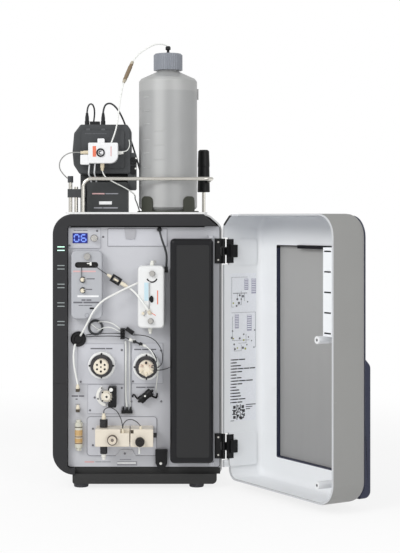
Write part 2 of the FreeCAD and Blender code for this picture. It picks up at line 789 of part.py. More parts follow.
HEAD_FRONT = PLATE_FRONT - HEAD_DEPTH + PLATE_THICKNESS
PRIMARY_HEAD = (-85.8, -15.4, 93.2, 129.0)
SECONDARY_HEAD = (-13.6, 33.3, 92.4, 129.0)
CHECK_X = -69.2
CHECK_Y = FASCIA - 28
CHECK_RADIUS = 8.3


def pump_head(edges, knob_at):
    x0, x1, z0, z1 = edges
    block = front_slab(rectangle(x0, x1, z0, z1, 2), HEAD_FRONT, PLATE_FRONT)
    block = round_edges(block, 1.5, front_edges(HEAD_FRONT))
    x, z = knob_at
    return cut(block, rod_y(x, z, KNOB_SHAFT + MOVING_GAP, HEAD_FRONT - 1, HEAD_FRONT + 14))


def primary_pump_head():
    block = pump_head(PRIMARY_HEAD, WASTE_KNOB)
    notch = box(-34, -14, HEAD_FRONT - 1, HEAD_FRONT + 12, 121, 130)
    return cut(block, notch)


def secondary_pump_head():
    return pump_head(SECONDARY_HEAD, PRIMING_KNOB)


def pump_knob(at, radius, length):
    x, z = at
    shaft = rod_y(x, z, KNOB_SHAFT, HEAD_FRONT - 1, HEAD_FRONT + SHAFT_LENGTH)
    return fuse(knob(x, z, radius, length, HEAD_FRONT, 2), shaft)


def nut_profile(radius, height):
    return [(0, 0), (radius - 0.8, 0), (radius, 0.8), (radius, height - 0.8),
            (radius - 0.8, height), (0, height)]


def check_valves():
    top = PRIMARY_HEAD[3]
    bottom = PRIMARY_HEAD[2]
    upper = turned(nut_profile(CHECK_RADIUS, 17), (CHECK_X, CHECK_Y, top), (0, 0, 1))
    lower = turned(nut_profile(CHECK_RADIUS - 0.8, 18.7), (CHECK_X, CHECK_Y, bottom), (0, 0, -1))
    side = turned(nut_profile(5, 7), (SECONDARY_HEAD[1], CHECK_Y, 112.8), (1, 0, 0))
    return [upper, lower, side]


ROTOR_RADIUS = 13.5
ROLLER_RADIUS = 3.2
HOUSING_GAP = 1.0


def wash_pump_housing():
    x, z = WASH_ROTOR
    shoe = front_slab(rectangle(x + 3, x + 20.3, z - 22, z + 20.5, 3),
                      PLATE_FRONT - 26, PLATE_FRONT)
    hollow = rod_y(x, z, ROTOR_RADIUS + HOUSING_GAP, PLATE_FRONT - 27, PLATE_FRONT + 1)
    return cut(shoe, hollow)


def wash_rotor():
    x, z = WASH_ROTOR
    front = PLATE_FRONT - 24
    disc = turned([(0, 0), (ROTOR_RADIUS - 2, 0), (ROTOR_RADIUS - 2, 17), (8, 17), (8, 23),
                   (7, 24), (0, 24)], (x, PLATE_FRONT - MOVING_GAP, z), (0, -1, 0))
    rollers = []
    for i in range(4):
        angle = math.radians(45 + 90 * i)
        px = x + (ROTOR_RADIUS - ROLLER_RADIUS) * math.cos(angle)
        pz = z + (ROTOR_RADIUS - ROLLER_RADIUS) * math.sin(angle)
        rollers.append(rod_y(px, pz, ROLLER_RADIUS, front + 4, PLATE_FRONT - 2))
    shaft = rod_y(x, z, KNOB_SHAFT, PLATE_FRONT - 1, CASING_FRONT + 4)
    return fuse(disc, shaft, *rollers)


# Fittings and rigid lines

UNION_START = (-62.8, FASCIA - 14, 444.6)
UNION_END = (-21.0, FASCIA - 14, 418.9)
GROMMET = (-123.2, 309.5)
GROMMET_RADIUS = 16.0
GROMMET_DEPTH = 8.0
PORTS = ((-124.0, 206.0), (-123.7, 163.8))
MIXER = (17.2, 191.7)
MIXER_TILT = 39.0
FILTER_X = -122.3
FILTER_RADIUS = 8.1
FILTER_Y = PLATE_FRONT - 8.1
FILTER_Z = (78.0, 142.0)
LINE_PORT_Y = FASCIA - 14


def fitting(base, direction, radius=4.0, length=12.0):
    """A finger-tight fitting: a knurled head that narrows to its tube."""
    profile = [(0, 0), (radius, 0), (radius, length * 0.55), (radius * 0.7, length * 0.7),
               (radius * 0.7, length), (0, length)]
    return turned(profile, base, direction)


def valve_fittings():
    """Six splayed fittings on the injection valve."""
    x, z = VALVES[1]
    face = PLATE_FRONT - STATOR_DEPTH
    stator = valve_stator(x, z)
    pieces = []
    for i in range(PORT_COUNT):
        angle = math.radians(30 + 60 * i)
        side, rise = math.cos(angle), math.sin(angle)
        base = (x + PORT_CIRCLE * side, face + 1.2, z + PORT_CIRCLE * rise)
        pieces.append(cut(fitting(base, (0.55 * side, -0.83, 0.55 * rise), 2.9, 10), stator))
    return pieces


def line_union():
    start, end = V(*UNION_START), V(*UNION_END)
    run = end - start
    length = run.Length
    profile = [(0, 0), (2.2, 0), (3.6, 8), (3.6, 12), (3, 12.01), (3, length - 16),
               (4.2, length - 15.99), (4.2, length - 6), (3.2, length), (0, length)]
    return turned(profile, UNION_START, tuple(run))


COUPLING_START = (-17.0, FASCIA - 11.0, 309.5)
COUPLING_END = (17.7, FASCIA - 14.0, 295.2)


def inline_coupling():
    """Two pale nuts on a dark waisted body."""
    run = V(*COUPLING_END) - V(*COUPLING_START)
    n = run.Length
    profile = [(0, 0), (3.4, 0), (3.4, 5), (2, 6), (2, 8), (3.8, 9), (3.8, 14), (2, 15.5),
               (2, n - 15.5), (3.8, n - 14), (3.8, n - 9), (2, n - 8), (2, n - 5),
               (3, n - 4), (3, n), (0, n)]
    return turned(profile, COUPLING_START, tuple(run))


def peek_fittings():
    """The cream and pale fittings of the whole front."""
    pieces = valve_fittings()
    for x, z in ((-113.3, 434.2), (-113.3, 411.5)):
        pieces.append(fitting((x, DETECTOR_FRONT, z), (0, -1, 0), 4.4, 9))
    pieces.append(line_union())
    pieces.append(inline_coupling())
    sloped = fitting((26.4, SUPPRESSOR_FRONT + 1.5, 364.2), (-0.3, -0.62, 0.72), 4, 11.5)
    pieces.append(cut(sloped, box(0, 60, SUPPRESSOR_FRONT, 0, 340, 380)))
    pieces.append(fitting((12.0, SUPPRESSOR_FRONT, 364.8), (0, -1, 0), 3, 8))
    pieces.append(fitting((30.8, FASCIA - 14, SUPPRESSOR[3]), (0, 0, 1), 4.5, 10))
    pieces.append(fitting((26.7, FASCIA - 14, SUPPRESSOR[2]), (0, 0, -1), 4.5, 12))
    pieces.append(fitting((CHECK_X, CHECK_Y, PRIMARY_HEAD[3] + 17), (0, 0, 1), 4.5, 12))
    pieces.append(fitting((CHECK_X, CHECK_Y, PRIMARY_HEAD[2] - 18.7), (0, 0, -1), 5, 12))
    pieces.append(fitting((-29.5, HEAD_FRONT + 6, 121), (0, 0, 1), 3, 9))
    pieces.append(fitting((7.6, HEAD_FRONT + 6, SECONDARY_HEAD[3]), (0, 0, 1), 3, 6))
    for x, z in PORTS:
        block = box(x - 4, x + 4, FASCIA - 19, FASCIA, z - 5, z + 1)
        pieces.append(fuse(block, fitting((x, LINE_PORT_Y, z + 1), (0, 0, 1), 4, 9)))
    return Part.makeCompound(pieces)


CLIP_BLOCK = (-35.4, -26.3, 310.3, 332.4)
PRONGS = (-33.3, -10.1, 154.7, 168.4)
CORNER_CLIP = (37.4, 62.2, 38.0, 79.6)
BOOT = (56.3, 63.5, 449.0, 461.0)


def tube_guides():
    """Black clips and guides that hold the lines on the fascia."""
    pieces = [union_clip()]
    x0, x1, z0, z1 = CLIP_BLOCK
    block = box(x0, x1, FASCIA - 16, FASCIA, z0, z1)
    slots = [box(x0 - 1, x1 + 1, FASCIA - 17, FASCIA - 9, z, z + 3) for z in (314, 320, 326)]
    pieces.append(cut(block, *slots))
    angled = box(-9, 9, FASCIA - 14, FASCIA, -4, 4)
    angled.rotate(V(0, 0, 0), V(0, 1, 0), 36)
    angled.translate(V(-16, 0, 327))
    pieces.append(angled)
    x0, x1, z0, z1 = PRONGS
    base = plate(x0, x1, z0, z0 + 6, 8, 1)
    prongs = [front_slab([(x - 3, z0 + 5, 0), (x + 3, z0 + 5, 0), (x + 1.2, z1, 1),
                          (x - 1.2, z1, 1)], FASCIA - 8, FASCIA)
              for x in (x0 + 4, (x0 + x1) / 2, x1 - 4)]
    pieces.append(fuse(base, *prongs))
    x0, x1, z0, z1 = CORNER_CLIP
    clip = front_slab([(x0, z1, 2), (x1, z1, 2), (x1, z0 + 14, 6), (x1 - 6, z0, 8),
                       (x0 + 6, z0, 8), (x0, z0 + 14, 6)], FASCIA - 9, FASCIA)
    pieces.append(clip)
    x0, x1, z0, z1 = BOOT
    pieces.append(box(x0, x1, FASCIA - 22, FASCIA - 10, z0, z1))
    gx, gz = CABLE_GLAND
    pieces.append(turned([(0, 0), (GLAND_RADIUS, 0), (GLAND_RADIUS, 3), (3.5, 8), (0, 8)],
                         (gx, FASCIA, gz), (0, -1, 0)))
    pieces.append(tube_grommet())
    return Part.makeCompound(pieces)


def union_clip():
    """The black frame round the line union, with its stem on the fascia."""
    start, end = V(*UNION_START), V(*UNION_END)
    middle = (start + end) * 0.5
    tilt = math.degrees(math.atan2(start.z - end.z, end.x - start.x))
    frame = box(-14, 8, -5, 5, -8, 8)
    window = box(-9, 3, -6, 6, -4.6, 4.6)
    stem = box(-6, 2, 5, FASCIA - middle.y, -7.9, -4.7)
    bore = rod((-30, 0, 0), (30, 0, 0), 3.05)
    clip = cut(fuse(cut(frame, window), stem), bore)
    clip.rotate(V(0, 0, 0), V(0, 1, 0), tilt)
    clip.translate(middle)
    return cut(clip, line_union())


def tube_grommet():
    x, z = GROMMET
    profile = [(0, 0), (GROMMET_RADIUS, 0), (GROMMET_RADIUS, 4), (GROMMET_RADIUS - 3, 8),
               (9, 8), (8, 6), (0, 6)]
    return turned(profile, (x, FASCIA, z), (0, -1, 0))


def mixer():
    """The tilted mixing chamber in its saddle."""
    x, z = MIXER
    radius, half = 8.5, 15
    drum = turned([(0, 0), (radius - 1, 0), (radius, 1), (radius, 9), (radius - 1, 10),
                   (radius - 1, 20), (radius, 21), (radius, 29), (radius - 1, 30), (0, 30)],
                  (-half, 0, 0), (1, 0, 0))
    saddle = cut(box(-8, 8, 0, 12, -7, 7), rod((-20, 0, 0), (20, 0, 0), radius - 1))
    pieces = [drum, cut(saddle, drum)]
    ends = [fitting((side * half, 0, 0), (side, 0, 0), 3, 5) for side in (-1, 1)]
    whole = []
    for piece in pieces + ends:
        piece = piece.copy()
        piece.rotate(V(0, 0, 0), V(0, 1, 0), -MIXER_TILT)
        piece.translate(V(x, FASCIA - 12, z))
        whole.append(piece)
    return Part.makeCompound(whole)


def inline_filter():
    bottom, top = FILTER_Z
    r = FILTER_RADIUS
    profile = [(0, 0), (r - 3, 0), (r - 3, 5), (r, 6), (r, top - bottom - 6),
               (r - 3, top - bottom - 5), (r - 3, top - bottom), (0, top - bottom)]
    return turned(profile, (FILTER_X, FILTER_Y + PLATE_THICKNESS, bottom), (0, 0, 1))


COIL_CENTRE = (-87.2, 333.6)
COIL_RADIUS = 14.0


def panel_capillaries():
    """Stiff lines of narrow tube, bent to shape, and the small coil."""
    r = CAPILLARY_RADIUS
    head_line = CHECK_Y
    arc_one = tube([
        (CHECK_X, head_line, 158.0), (CHECK_X, head_line - 1, 164), (-64, head_line - 3, 169.5),
        (-54, head_line - 6, 171), (-42, head_line - 11, 165), (-34, head_line - 17, 152),
        (-30, HEAD_FRONT + 6, 138), (-29.5, HEAD_FRONT + 6, 130)], r)
    arc_two = tube([
        (-29.4, HEAD_FRONT + 2.5, 130.5), (-28, HEAD_FRONT + 0.5, 141), (-20, HEAD_FRONT - 1, 149),
        (-10, HEAD_FRONT, 149.5), (0, HEAD_FRONT + 3, 144), (7.2, HEAD_FRONT + 6, 135)], r)
    x, z = VALVES[1]
    face = PLATE_FRONT - STATOR_DEPTH
    arc_three = tube([
        (-10, FASCIA - 4, 318), (4, FASCIA - 10, 318.6), (20, FASCIA - 18, 317),
        (36, FASCIA - 24, 310), (47, FASCIA - 34, 297), (53, FASCIA - 46, 280),
        (51, face - 9, 263), (38, face - 13, 255), (29, face - 6.5, 257.5)], r)
    arc_four = tube([
        COUPLING_END, (28, FASCIA - 20, 289), (36, FASCIA - 34, 280),
        (41, FASCIA - 48, 270), (37, face - 11.5, 262), (29.9, face - 7.2, 260.2)], r)
    rows = [tube([(-107, FASCIA - 5, 318), (-85, FASCIA - 9, 321), (-60, FASCIA - 12, 322.4),
                  (-35, FASCIA - 11, 321.6)], r),
            tube([(-107, FASCIA - 5, 314.5), (-85, FASCIA - 9, 315.6), (-60, FASCIA - 12, 316.6),
                  (-36, FASCIA - 11, 315.6), (-24, FASCIA - 11, 313), COUPLING_START], r)]
    cx, cz = COIL_CENTRE
    coil = Part.makeTorus(COIL_RADIUS, 2.4, V(cx, FASCIA - 2.4, cz), V(0, 1, 0))
    column_line = tube([
        (x + 14, face - 6, 251), (49, face - 2, 251), (60, FASCIA - 51, 252.5),
        (66.5, FASCIA - 40, 254)], r)
    return Part.makeCompound([arc_one, arc_two, arc_three, arc_four, coil, column_line] + rows)


# Hinges

def hinge_levels(bottom):
    third = HINGE_HEIGHT / 3
    return bottom, bottom + third, bottom + 2 * third, bottom + HINGE_HEIGHT


def hinge_fixed_leaves():
    """Cabinet leaves: a plate on the fascia, two knuckles and the pin pressed in them."""
    leaves = []
    for bottom in HINGE_BOTTOMS:
        z0, z1, z2, z3 = hinge_levels(bottom)
        leaf = plan_slab([(HINGE_X - 18, FASCIA, 0), (HINGE_X - 5.5, FASCIA, 0),
                          (HINGE_X - 5.5, FASCIA - LEAF_THICKNESS, 0),
                          (HINGE_X - 18, FASCIA - LEAF_THICKNESS, 2)], z0, z3)
        pieces = [leaf, rod_z(HINGE_X, HINGE_Y, HINGE_PIN_RADIUS, z0, z3)]
        for low, high in ((z0, z1), (z2, z3)):
            pieces.append(rod_z(HINGE_X, HINGE_Y, KNUCKLE_RADIUS, low, high))
            pieces.append(box(HINGE_X - 6, HINGE_X - 2, HINGE_Y + 1, FASCIA - 1, low, high))
        leaves.append(fuse(pieces[0], *pieces[1:]))
    return Part.makeCompound(leaves)


def door_hinge_leaves():
    leaves = []
    inner = HALF_WIDTH - DOOR_WALL
    for bottom in HINGE_BOTTOMS:
        z0, z1, z2, z3 = hinge_levels(bottom)
        knuckle = cut(rod_z(HINGE_X, HINGE_Y, KNUCKLE_RADIUS, z1 + MOVING_GAP, z2 - MOVING_GAP),
                      rod_z(HINGE_X, HINGE_Y, HINGE_PIN_RADIUS + PIN_GAP, z0, z3))
        arm = box(inner - LEAF_THICKNESS, HINGE_X, HINGE_Y - 7, HINGE_Y - 3,
                  z1 + MOVING_GAP, z2 - MOVING_GAP)
        leaf = box(inner - LEAF_THICKNESS, inner, HINGE_Y - 19, HINGE_Y - 3, z0 + 1, z3 - 1)
        block = box(inner - LEAF_THICKNESS - 5, inner, HINGE_Y - 26, HINGE_Y - 9,
                    z0 + 13, z3 - 13)
        pin_room = rod_z(HINGE_X, HINGE_Y, HINGE_PIN_RADIUS + PIN_GAP, z0, z3)
        leaves.append(cut(fuse(knuckle, arm, leaf, block), pin_room))
    return swing_open(Part.makeCompound(leaves))


# Door

DOOR_BACK = FRONT - DOOR_FACE_GAP
DOOR_FRONT = FRONT - DOOR_DEPTH
DOOR_LEFT = -HALF_WIDTH
DOOR_BOTTOM = BODY_BOTTOM + DOOR_BOTTOM_GAP


def swing_open(shape):
    shape = shape.copy()
    shape.rotate(V(HINGE_X, HINGE_Y, 0), V(0, 0, 1), DOOR_OPEN_ANGLE)
    return shape


def door_corners(inset):
    flat = math.atan2(CHAMFER_HEIGHT, CHAMFER_WIDTH)
    steep = math.pi / 2 - flat
    side = HALF_WIDTH - inset
    chamfer_x = HALF_WIDTH - CHAMFER_WIDTH - inset * math.tan(flat / 2)
    chamfer_z = BODY_TOP - CHAMFER_HEIGHT - inset * math.tan(steep / 2)
    return [
        (-side, DOOR_BOTTOM + inset, DOOR_CORNER - inset),
        (-side, BODY_TOP - inset, DOOR_CORNER - inset),
        (chamfer_x, BODY_TOP - inset, CHAMFER_ROUND - inset),
        (side, chamfer_z, CHAMFER_ROUND - inset),
        (side, DOOR_BOTTOM + inset, CHAMFER_ROUND - inset),
    ]


def window_box(y0, y1, inset=0.0):
    x0 = DOOR_LEFT + WINDOW_FREE_MARGIN + inset
    x1 = HINGE_X - WINDOW_HINGE_MARGIN - inset
    return front_slab(rectangle(x0, x1, WINDOW_BOTTOM + inset, WINDOW_TOP - inset, 3), y0, y1)


def hinge_side_room():
    """Everything behind the free rim, apart from the wall beside the hinge."""
    return box(-HALF_WIDTH - 1, HALF_WIDTH - DOOR_WALL - 3, DOOR_BACK - SEAL_THICKNESS,
               CASING_FRONT, 0, FASCIA_TOP + 1)


def hinge_pockets():
    pockets = []
    for bottom in HINGE_BOTTOMS:
        pockets.append(box(HALF_WIDTH - DOOR_WALL - 1, HALF_WIDTH + 1, HINGE_Y - 9, FASCIA + 1,
                           bottom - 2, bottom + HINGE_HEIGHT + 2))
    return pockets


POST_RADIUS = 5.2
POSTS = ((310.0, 330.0), (310.0, 54.0))
POST_REACH = 6.0


def door_shell():
    rim = DOOR_BACK - SEAL_THICKNESS
    deep_rim = FASCIA - DOOR_FACE_GAP - SEAL_THICKNESS
    outer = front_slab(door_corners(0), DOOR_FRONT, deep_rim)
    outer = round_edges(outer, DOOR_EDGE_ROUND, front_edges(DOOR_FRONT))
    inner_front = DOOR_FRONT + DOOR_FRONT_WALL
    inner = front_slab(door_corners(DOOR_WALL), inner_front, deep_rim + 1)
    inner = round_edges(inner, DOOR_EDGE_ROUND - 8, front_edges(inner_front))
    trim = box(-HALF_WIDTH - 1, bezel_end(BODY_TOP - DOOR_WALL) + 1, rim, deep_rim + 1,
               0, BODY_TOP + 1)
    low = box(-HALF_WIDTH - 1, HALF_WIDTH - DOOR_WALL - 1, rim, deep_rim + 1, 0, FASCIA_BOTTOM)
    shell = cut(outer, inner, trim, low, window_box(DOOR_FRONT - 1, inner_front + 1))
    shell = cut(shell, *hinge_pockets())
    posts = []
    for across, z in POSTS:
        posts.append(rod_y(HINGE_X - across, z, POST_RADIUS, inner_front - 1, rim + POST_REACH))
    latch = box(DOOR_LEFT + DOOR_WALL - 0.5, DOOR_LEFT + DOOR_WALL + 5, rim - 14, rim - 1, 168, 180)
    return swing_open(fuse(shell, latch, *posts))


STATUS_SLOTS = spread(344.0, 38.7, 5)
BAR = (-163.0, 36.0)
BAR_TOP = WINDOW_TOP + 1


def door_front_panel():
    """Dark outer panel and its bulged lower apron."""
    seat = DOOR_FRONT
    inset = DOOR_EDGE_ROUND + 1
    corners = door_corners(inset)
    sheet = front_slab(corners, seat - FRONT_PANEL_THICKNESS, seat)
    x0, x1 = DOOR_LEFT + inset, HALF_WIDTH - inset
    z0 = DOOR_BOTTOM + inset
    face = seat - FRONT_PANEL_THICKNESS
    apron = side_slab([(face, z0, 0), (face - APRON_DEPTH, z0 + APRON_SLOPE, 10),
                       (face - APRON_DEPTH, APRON_TOP - APRON_SLOPE, 10),
                       (face, APRON_TOP, 0)], x0, x1)
    mould = front_slab(corners, face - APRON_DEPTH - 1, face)
    apron = apron.common(mould)
    hollow = side_slab([(face + 1, z0 + 3, 0), (face - APRON_DEPTH + 3, z0 + APRON_SLOPE + 1, 8),
                        (face - APRON_DEPTH + 3, APRON_TOP - APRON_SLOPE - 1, 8),
                        (face + 1, APRON_TOP - 3, 0)], x0 + 8, x1 - 8)
    slots = [box(x0 + 8, x0 + 26, face - 1, face + 1, z, z + 2.5)
             for z in STATUS_SLOTS]
    return swing_open(fuse(cut(sheet, *slots), cut(apron, hollow)))


def door_jamb():
    """The dark frame inside the window's edge, with the bar across its top."""
    seat = DOOR_FRONT
    inner = seat + DOOR_FRONT_WALL
    frame = cut(window_box(seat, inner), window_box(seat - 1, inner + 1, 2))
    bar = box(BAR[0], BAR[1], inner, inner + 3.5, BAR_TOP - 7, BAR_TOP)
    bar_root = box(DOOR_LEFT + WINDOW_FREE_MARGIN + 1, BAR[1], inner - 3, inner + 1,
                   BAR_TOP - 7, WINDOW_TOP - 1)
    return swing_open(fuse(frame, bar, bar_root))


def door_light_guide():
    """The pale block on the free wall with a slot for each status light."""
    x0 = DOOR_LEFT + DOOR_WALL
    y1 = DOOR_BACK - SEAL_THICKNESS - 1
    body = box(x0, x0 + 30, y1 - 14, y1, 338, 506)
    slots = [box(x0 + 6, x0 + 27, y1 - 3, y1 + 1, z - 1.5, z + 1.5) for z in STATUS_SLOTS]
    return swing_open(cut(body, *slots))


def door_seal():
    """A soft black lip on the rim, set back where the hinge wall is deeper."""
    rim = DOOR_BACK - SEAL_THICKNESS
    ring = cut(front_slab(door_corners(0.5), rim, DOOR_BACK),
               front_slab(door_corners(DOOR_WALL - 0.5), rim - 1, DOOR_BACK + 1))
    start = bezel_end(BODY_TOP - DOOR_WALL) + 1
    side = box(start, HALF_WIDTH + 1, rim - 1, DOOR_BACK + 1, FASCIA_BOTTOM, BODY_TOP + 1)
    deep_rim = FASCIA - DOOR_FACE_GAP - SEAL_THICKNESS
    back = cut(front_slab(door_corners(0.5), deep_rim, deep_rim + SEAL_THICKNESS),
               front_slab(door_corners(DOOR_WALL - 0.5), deep_rim - 1,
                          deep_rim + SEAL_THICKNESS + 1))
    keep = box(start, HALF_WIDTH + 1, deep_rim - 1, FASCIA, FASCIA_BOTTOM, BODY_TOP + 1)
    back = cut(back.common(keep), *hinge_pockets())
    return swing_open(Part.makeCompound([cut(ring, side)] + back.Solids))


# Inner units

def pump_drive():
    """Cam box and motor behind the pump heads."""
    cam_box = plate(-100, 36, 58, 146, 70, 3, CASING_FRONT + 70)
    motor = rod_y(-40, 102, 28, CASING_FRONT + 70, CASING_FRONT + 130)
    second = rod_y(20, 102, 10, CASING_FRONT + 70, CASING_FRONT + 90)
    return fuse(cam_box, motor, second)


def power_supply():
    floor = BODY_BOTTOM + CASING_WALL
    return box(-60, 90, REAR - 170, REAR - 40, floor, floor + 52)


# Things on top of the cabinet

RAIL_LEFT = -116.0
RAIL_RIGHT = 157.0
RAIL_FRONT = FRONT + 60
CANISTER = (145.5, FRONT + 290)
CANISTER_RADIUS = 14.2
CANISTER_BOTTOM = TOP_SEAT + 46.5
CANISTER_TOP = TOP_SEAT + 143
POST_ROW = FRONT + 110
POST_A = (-146.2, POST_ROW)
POST_B = (-133.9, POST_ROW)
POST_A_TOP = TOP_SEAT + 71.5
POST_B_TOP = TOP_SEAT + 55


def post_canister():
    x, y = CANISTER
    height = CANISTER_TOP - CANISTER_BOTTOM
    r = CANISTER_RADIUS
    profile = [(0, 0), (r - 1, 0), (r, 1), (r - 1, height - 40), (r - 0.4, height - 38),
               (r - 1.6, height - 3), (r - 5, height), (0, height)]
    return turned(profile, (x, y, CANISTER_BOTTOM), (0, 0, 1))


def bottle_rail():
    top = TOP_SEAT + RAIL_HEIGHT
    x, y = CANISTER
    rail = bent_rod([(RAIL_LEFT, RAIL_FRONT, TOP_SEAT), (RAIL_LEFT, RAIL_FRONT, top),
                     (RAIL_RIGHT, RAIL_FRONT, top), (RAIL_RIGHT, y, top)],
                    RAIL_RADIUS, RAIL_BEND)
    rail = cut(rail, post_canister())
    posts = [rod_z(x, y, 4, TOP_SEAT, CANISTER_BOTTOM),
             rod_z(*POST_A, 4, TOP_SEAT, POST_A_TOP),
             rod_z(*POST_B, 4, TOP_SEAT, POST_B_TOP)]
    return Part.makeCompound([rail] + posts)


FINGER_ANGLES = (225.0, 315.0, 45.0, 135.0)
FINGER_SPAN = 28.0
FINGER_HEIGHT = 34.0


def bottle_holder():
    base = TOP_SEAT
    inner = BOTTLE_RADIUS + 0.4
    outer = inner + HOLDER_WALL
    floor = rod_z(BOTTLE_X, BOTTLE_Y, outer, base, base + HOLDER_FLOOR)
    wall = cut(rod_z(BOTTLE_X, BOTTLE_Y, outer, base, base + FINGER_HEIGHT),
               rod_z(BOTTLE_X, BOTTLE_Y, inner, base - 1, base + FINGER_HEIGHT + 1))
    half = outer * math.sin(math.radians(FINGER_SPAN / 2))
    fingers = []
    for angle in FINGER_ANGLES:
        strip = front_slab([(-half, base, 0), (half, base, 0),
                            (half, base + FINGER_HEIGHT, 11),
                            (-half, base + FINGER_HEIGHT, 11)], -outer - 1, -20)
        strip.rotate(V(0, 0, 0), V(0, 0, 1), angle + 90)
        strip.translate(V(BOTTLE_X, BOTTLE_Y, 0))
        fingers.append(wall.common(strip))
    return fuse(floor, *fingers)


BOTTLE_BASE = TOP_SEAT + HOLDER_FLOOR
BOTTLE_TOP = BOTTLE_BASE + BOTTLE_HEIGHT
HEAD_ROOM = 0.3
CAP_SKIRT = CAP_HEIGHT - 9.0


def bottle_profile(inset):
    """Radius and height of the bottle's outline, drawn in by a wall, below the neck's rim."""
    return [
        (0, inset), (BOTTLE_RADIUS - 8 - inset, inset), (BOTTLE_RADIUS - inset, 8 + inset),
        (BOTTLE_RADIUS - inset, BOTTLE_SHOULDER), (BOTTLE_RADIUS - 5 - inset, BOTTLE_SHOULDER + 6),
        (BOTTLE_NECK_RADIUS + 2 - inset, BOTTLE_NECK_BASE),
        (BOTTLE_NECK_RADIUS - inset, BOTTLE_NECK_BASE + 2),
    ]


def eluent_bottle():
    base = (BOTTLE_X, BOTTLE_Y, BOTTLE_BASE)
    top = BOTTLE_HEIGHT
    neck = BOTTLE_NECK_RADIUS
    outer = turned(bottle_profile(0) + [(neck, top), (0, top)], base, (0, 0, 1))
    wall = BOTTLE_WALL
    inner = turned(bottle_profile(wall) + [(neck - wall, top + 1), (0, top + 1)], base, (0, 0, 1))
    lug = box(BOTTLE_X + BOTTLE_RADIUS - 2, BOTTLE_X + BOTTLE_RADIUS + 3, BOTTLE_Y - 5,
              BOTTLE_Y + 5, BOTTLE_BASE + 241, BOTTLE_BASE + 264)
    return cut(fuse(outer, lug), inner)


def pickup_room():
    return rod_z(BOTTLE_X, BOTTLE_Y, 2 + MOVING_GAP, BOTTLE_BASE + 14, BOTTLE_TOP + 5)


def eluent_liquid():
    """The filling, up to its level, round the pick-up tube."""
    base = (BOTTLE_X, BOTTLE_Y, BOTTLE_BASE)
    skin = BOTTLE_WALL + 0.1
    points = bottle_profile(skin)[:3]
    level = LIQUID_HEIGHT
    solid = turned(points + [(BOTTLE_RADIUS - skin, level), (0, level)], base, (0, 0, 1))
    return cut(solid, pickup_room())


def bottle_cap():
    """Ribbed screw cap with a port in its middle."""
    bottom = BOTTLE_TOP + HEAD_ROOM - CAP_SKIRT
    ribs = CAP_RIBS
    points = []
    for i in range(ribs * 2):
        radius = CAP_RADIUS if i % 2 else CAP_RADIUS - 1.1
        for turn in (-0.3, 0.3):
            angle = (i + turn) * math.pi / ribs
            points.append(V(BOTTLE_X + radius * math.cos(angle),
                            BOTTLE_Y + radius * math.sin(angle), bottom))
    body = Part.Face(Part.makePolygon(points + [points[0]])).extrude(V(0, 0, CAP_HEIGHT))
    r = CAP_RADIUS
    dome = turned([(0, 0), (r + 1, 0), (r + 1, CAP_HEIGHT - 4), (r - 3, CAP_HEIGHT),
                   (0, CAP_HEIGHT)], (BOTTLE_X, BOTTLE_Y, bottom), (0, 0, 1))
    room = rod_z(BOTTLE_X, BOTTLE_Y, BOTTLE_NECK_RADIUS + MOVING_GAP, bottom - 1,
                 bottom + CAP_SKIRT)
    port = rod_z(BOTTLE_X, BOTTLE_Y, 2.7, bottom, bottom + CAP_HEIGHT + 1)
    return cut(body.common(dome), room, port)


CAP_TOP = BOTTLE_TOP + HEAD_ROOM - CAP_SKIRT + CAP_HEIGHT
PORT_HEIGHT = 17.0


def cap_fitting():
    """Black port fitting with the pick-up tube hanging from it."""
    x, y = BOTTLE_X, BOTTLE_Y
    head = turned([(0, 0), (4.5, 0), (4.5, 3), (2.9, 4), (2.9, 8), (5.6, 9.5), (5.6, 14.5),
                   (4, PORT_HEIGHT), (0, PORT_HEIGHT)], (x, y, CAP_TOP), (0, 0, 1))
    stem = rod_z(x, y, 2.7, CAP_TOP - 9, CAP_TOP + 1)
    dip = rod_z(x, y, 2, BOTTLE_BASE + 16, CAP_TOP - 8)
    filter_end = rod_z(x, y, 2, BOTTLE_BASE + 14.5, BOTTLE_BASE + 16)
    return fuse(head, stem, dip, filter_end)


DEGASSER = (-109.4, -21.9, FRONT + 90, FRONT + 164, 64.6)
GENERATOR_BOTTOM = TOP_SEAT + 82
GENERATOR_TOP = TOP_SEAT + 188.6
GENERATOR_FRONT = FRONT + 100
GENERATOR_BACK = FRONT + 210
TRAP_FRONT = FRONT + 70


def degasser_box():
    x0, x1, y0, y1, height = DEGASSER
    block = front_slab([(x0, TOP_SEAT, 0), (x0, TOP_SEAT + height, 5),
                        (x1, TOP_SEAT + height, 5), (x1, TOP_SEAT, 0)], y0, y1)
    return block


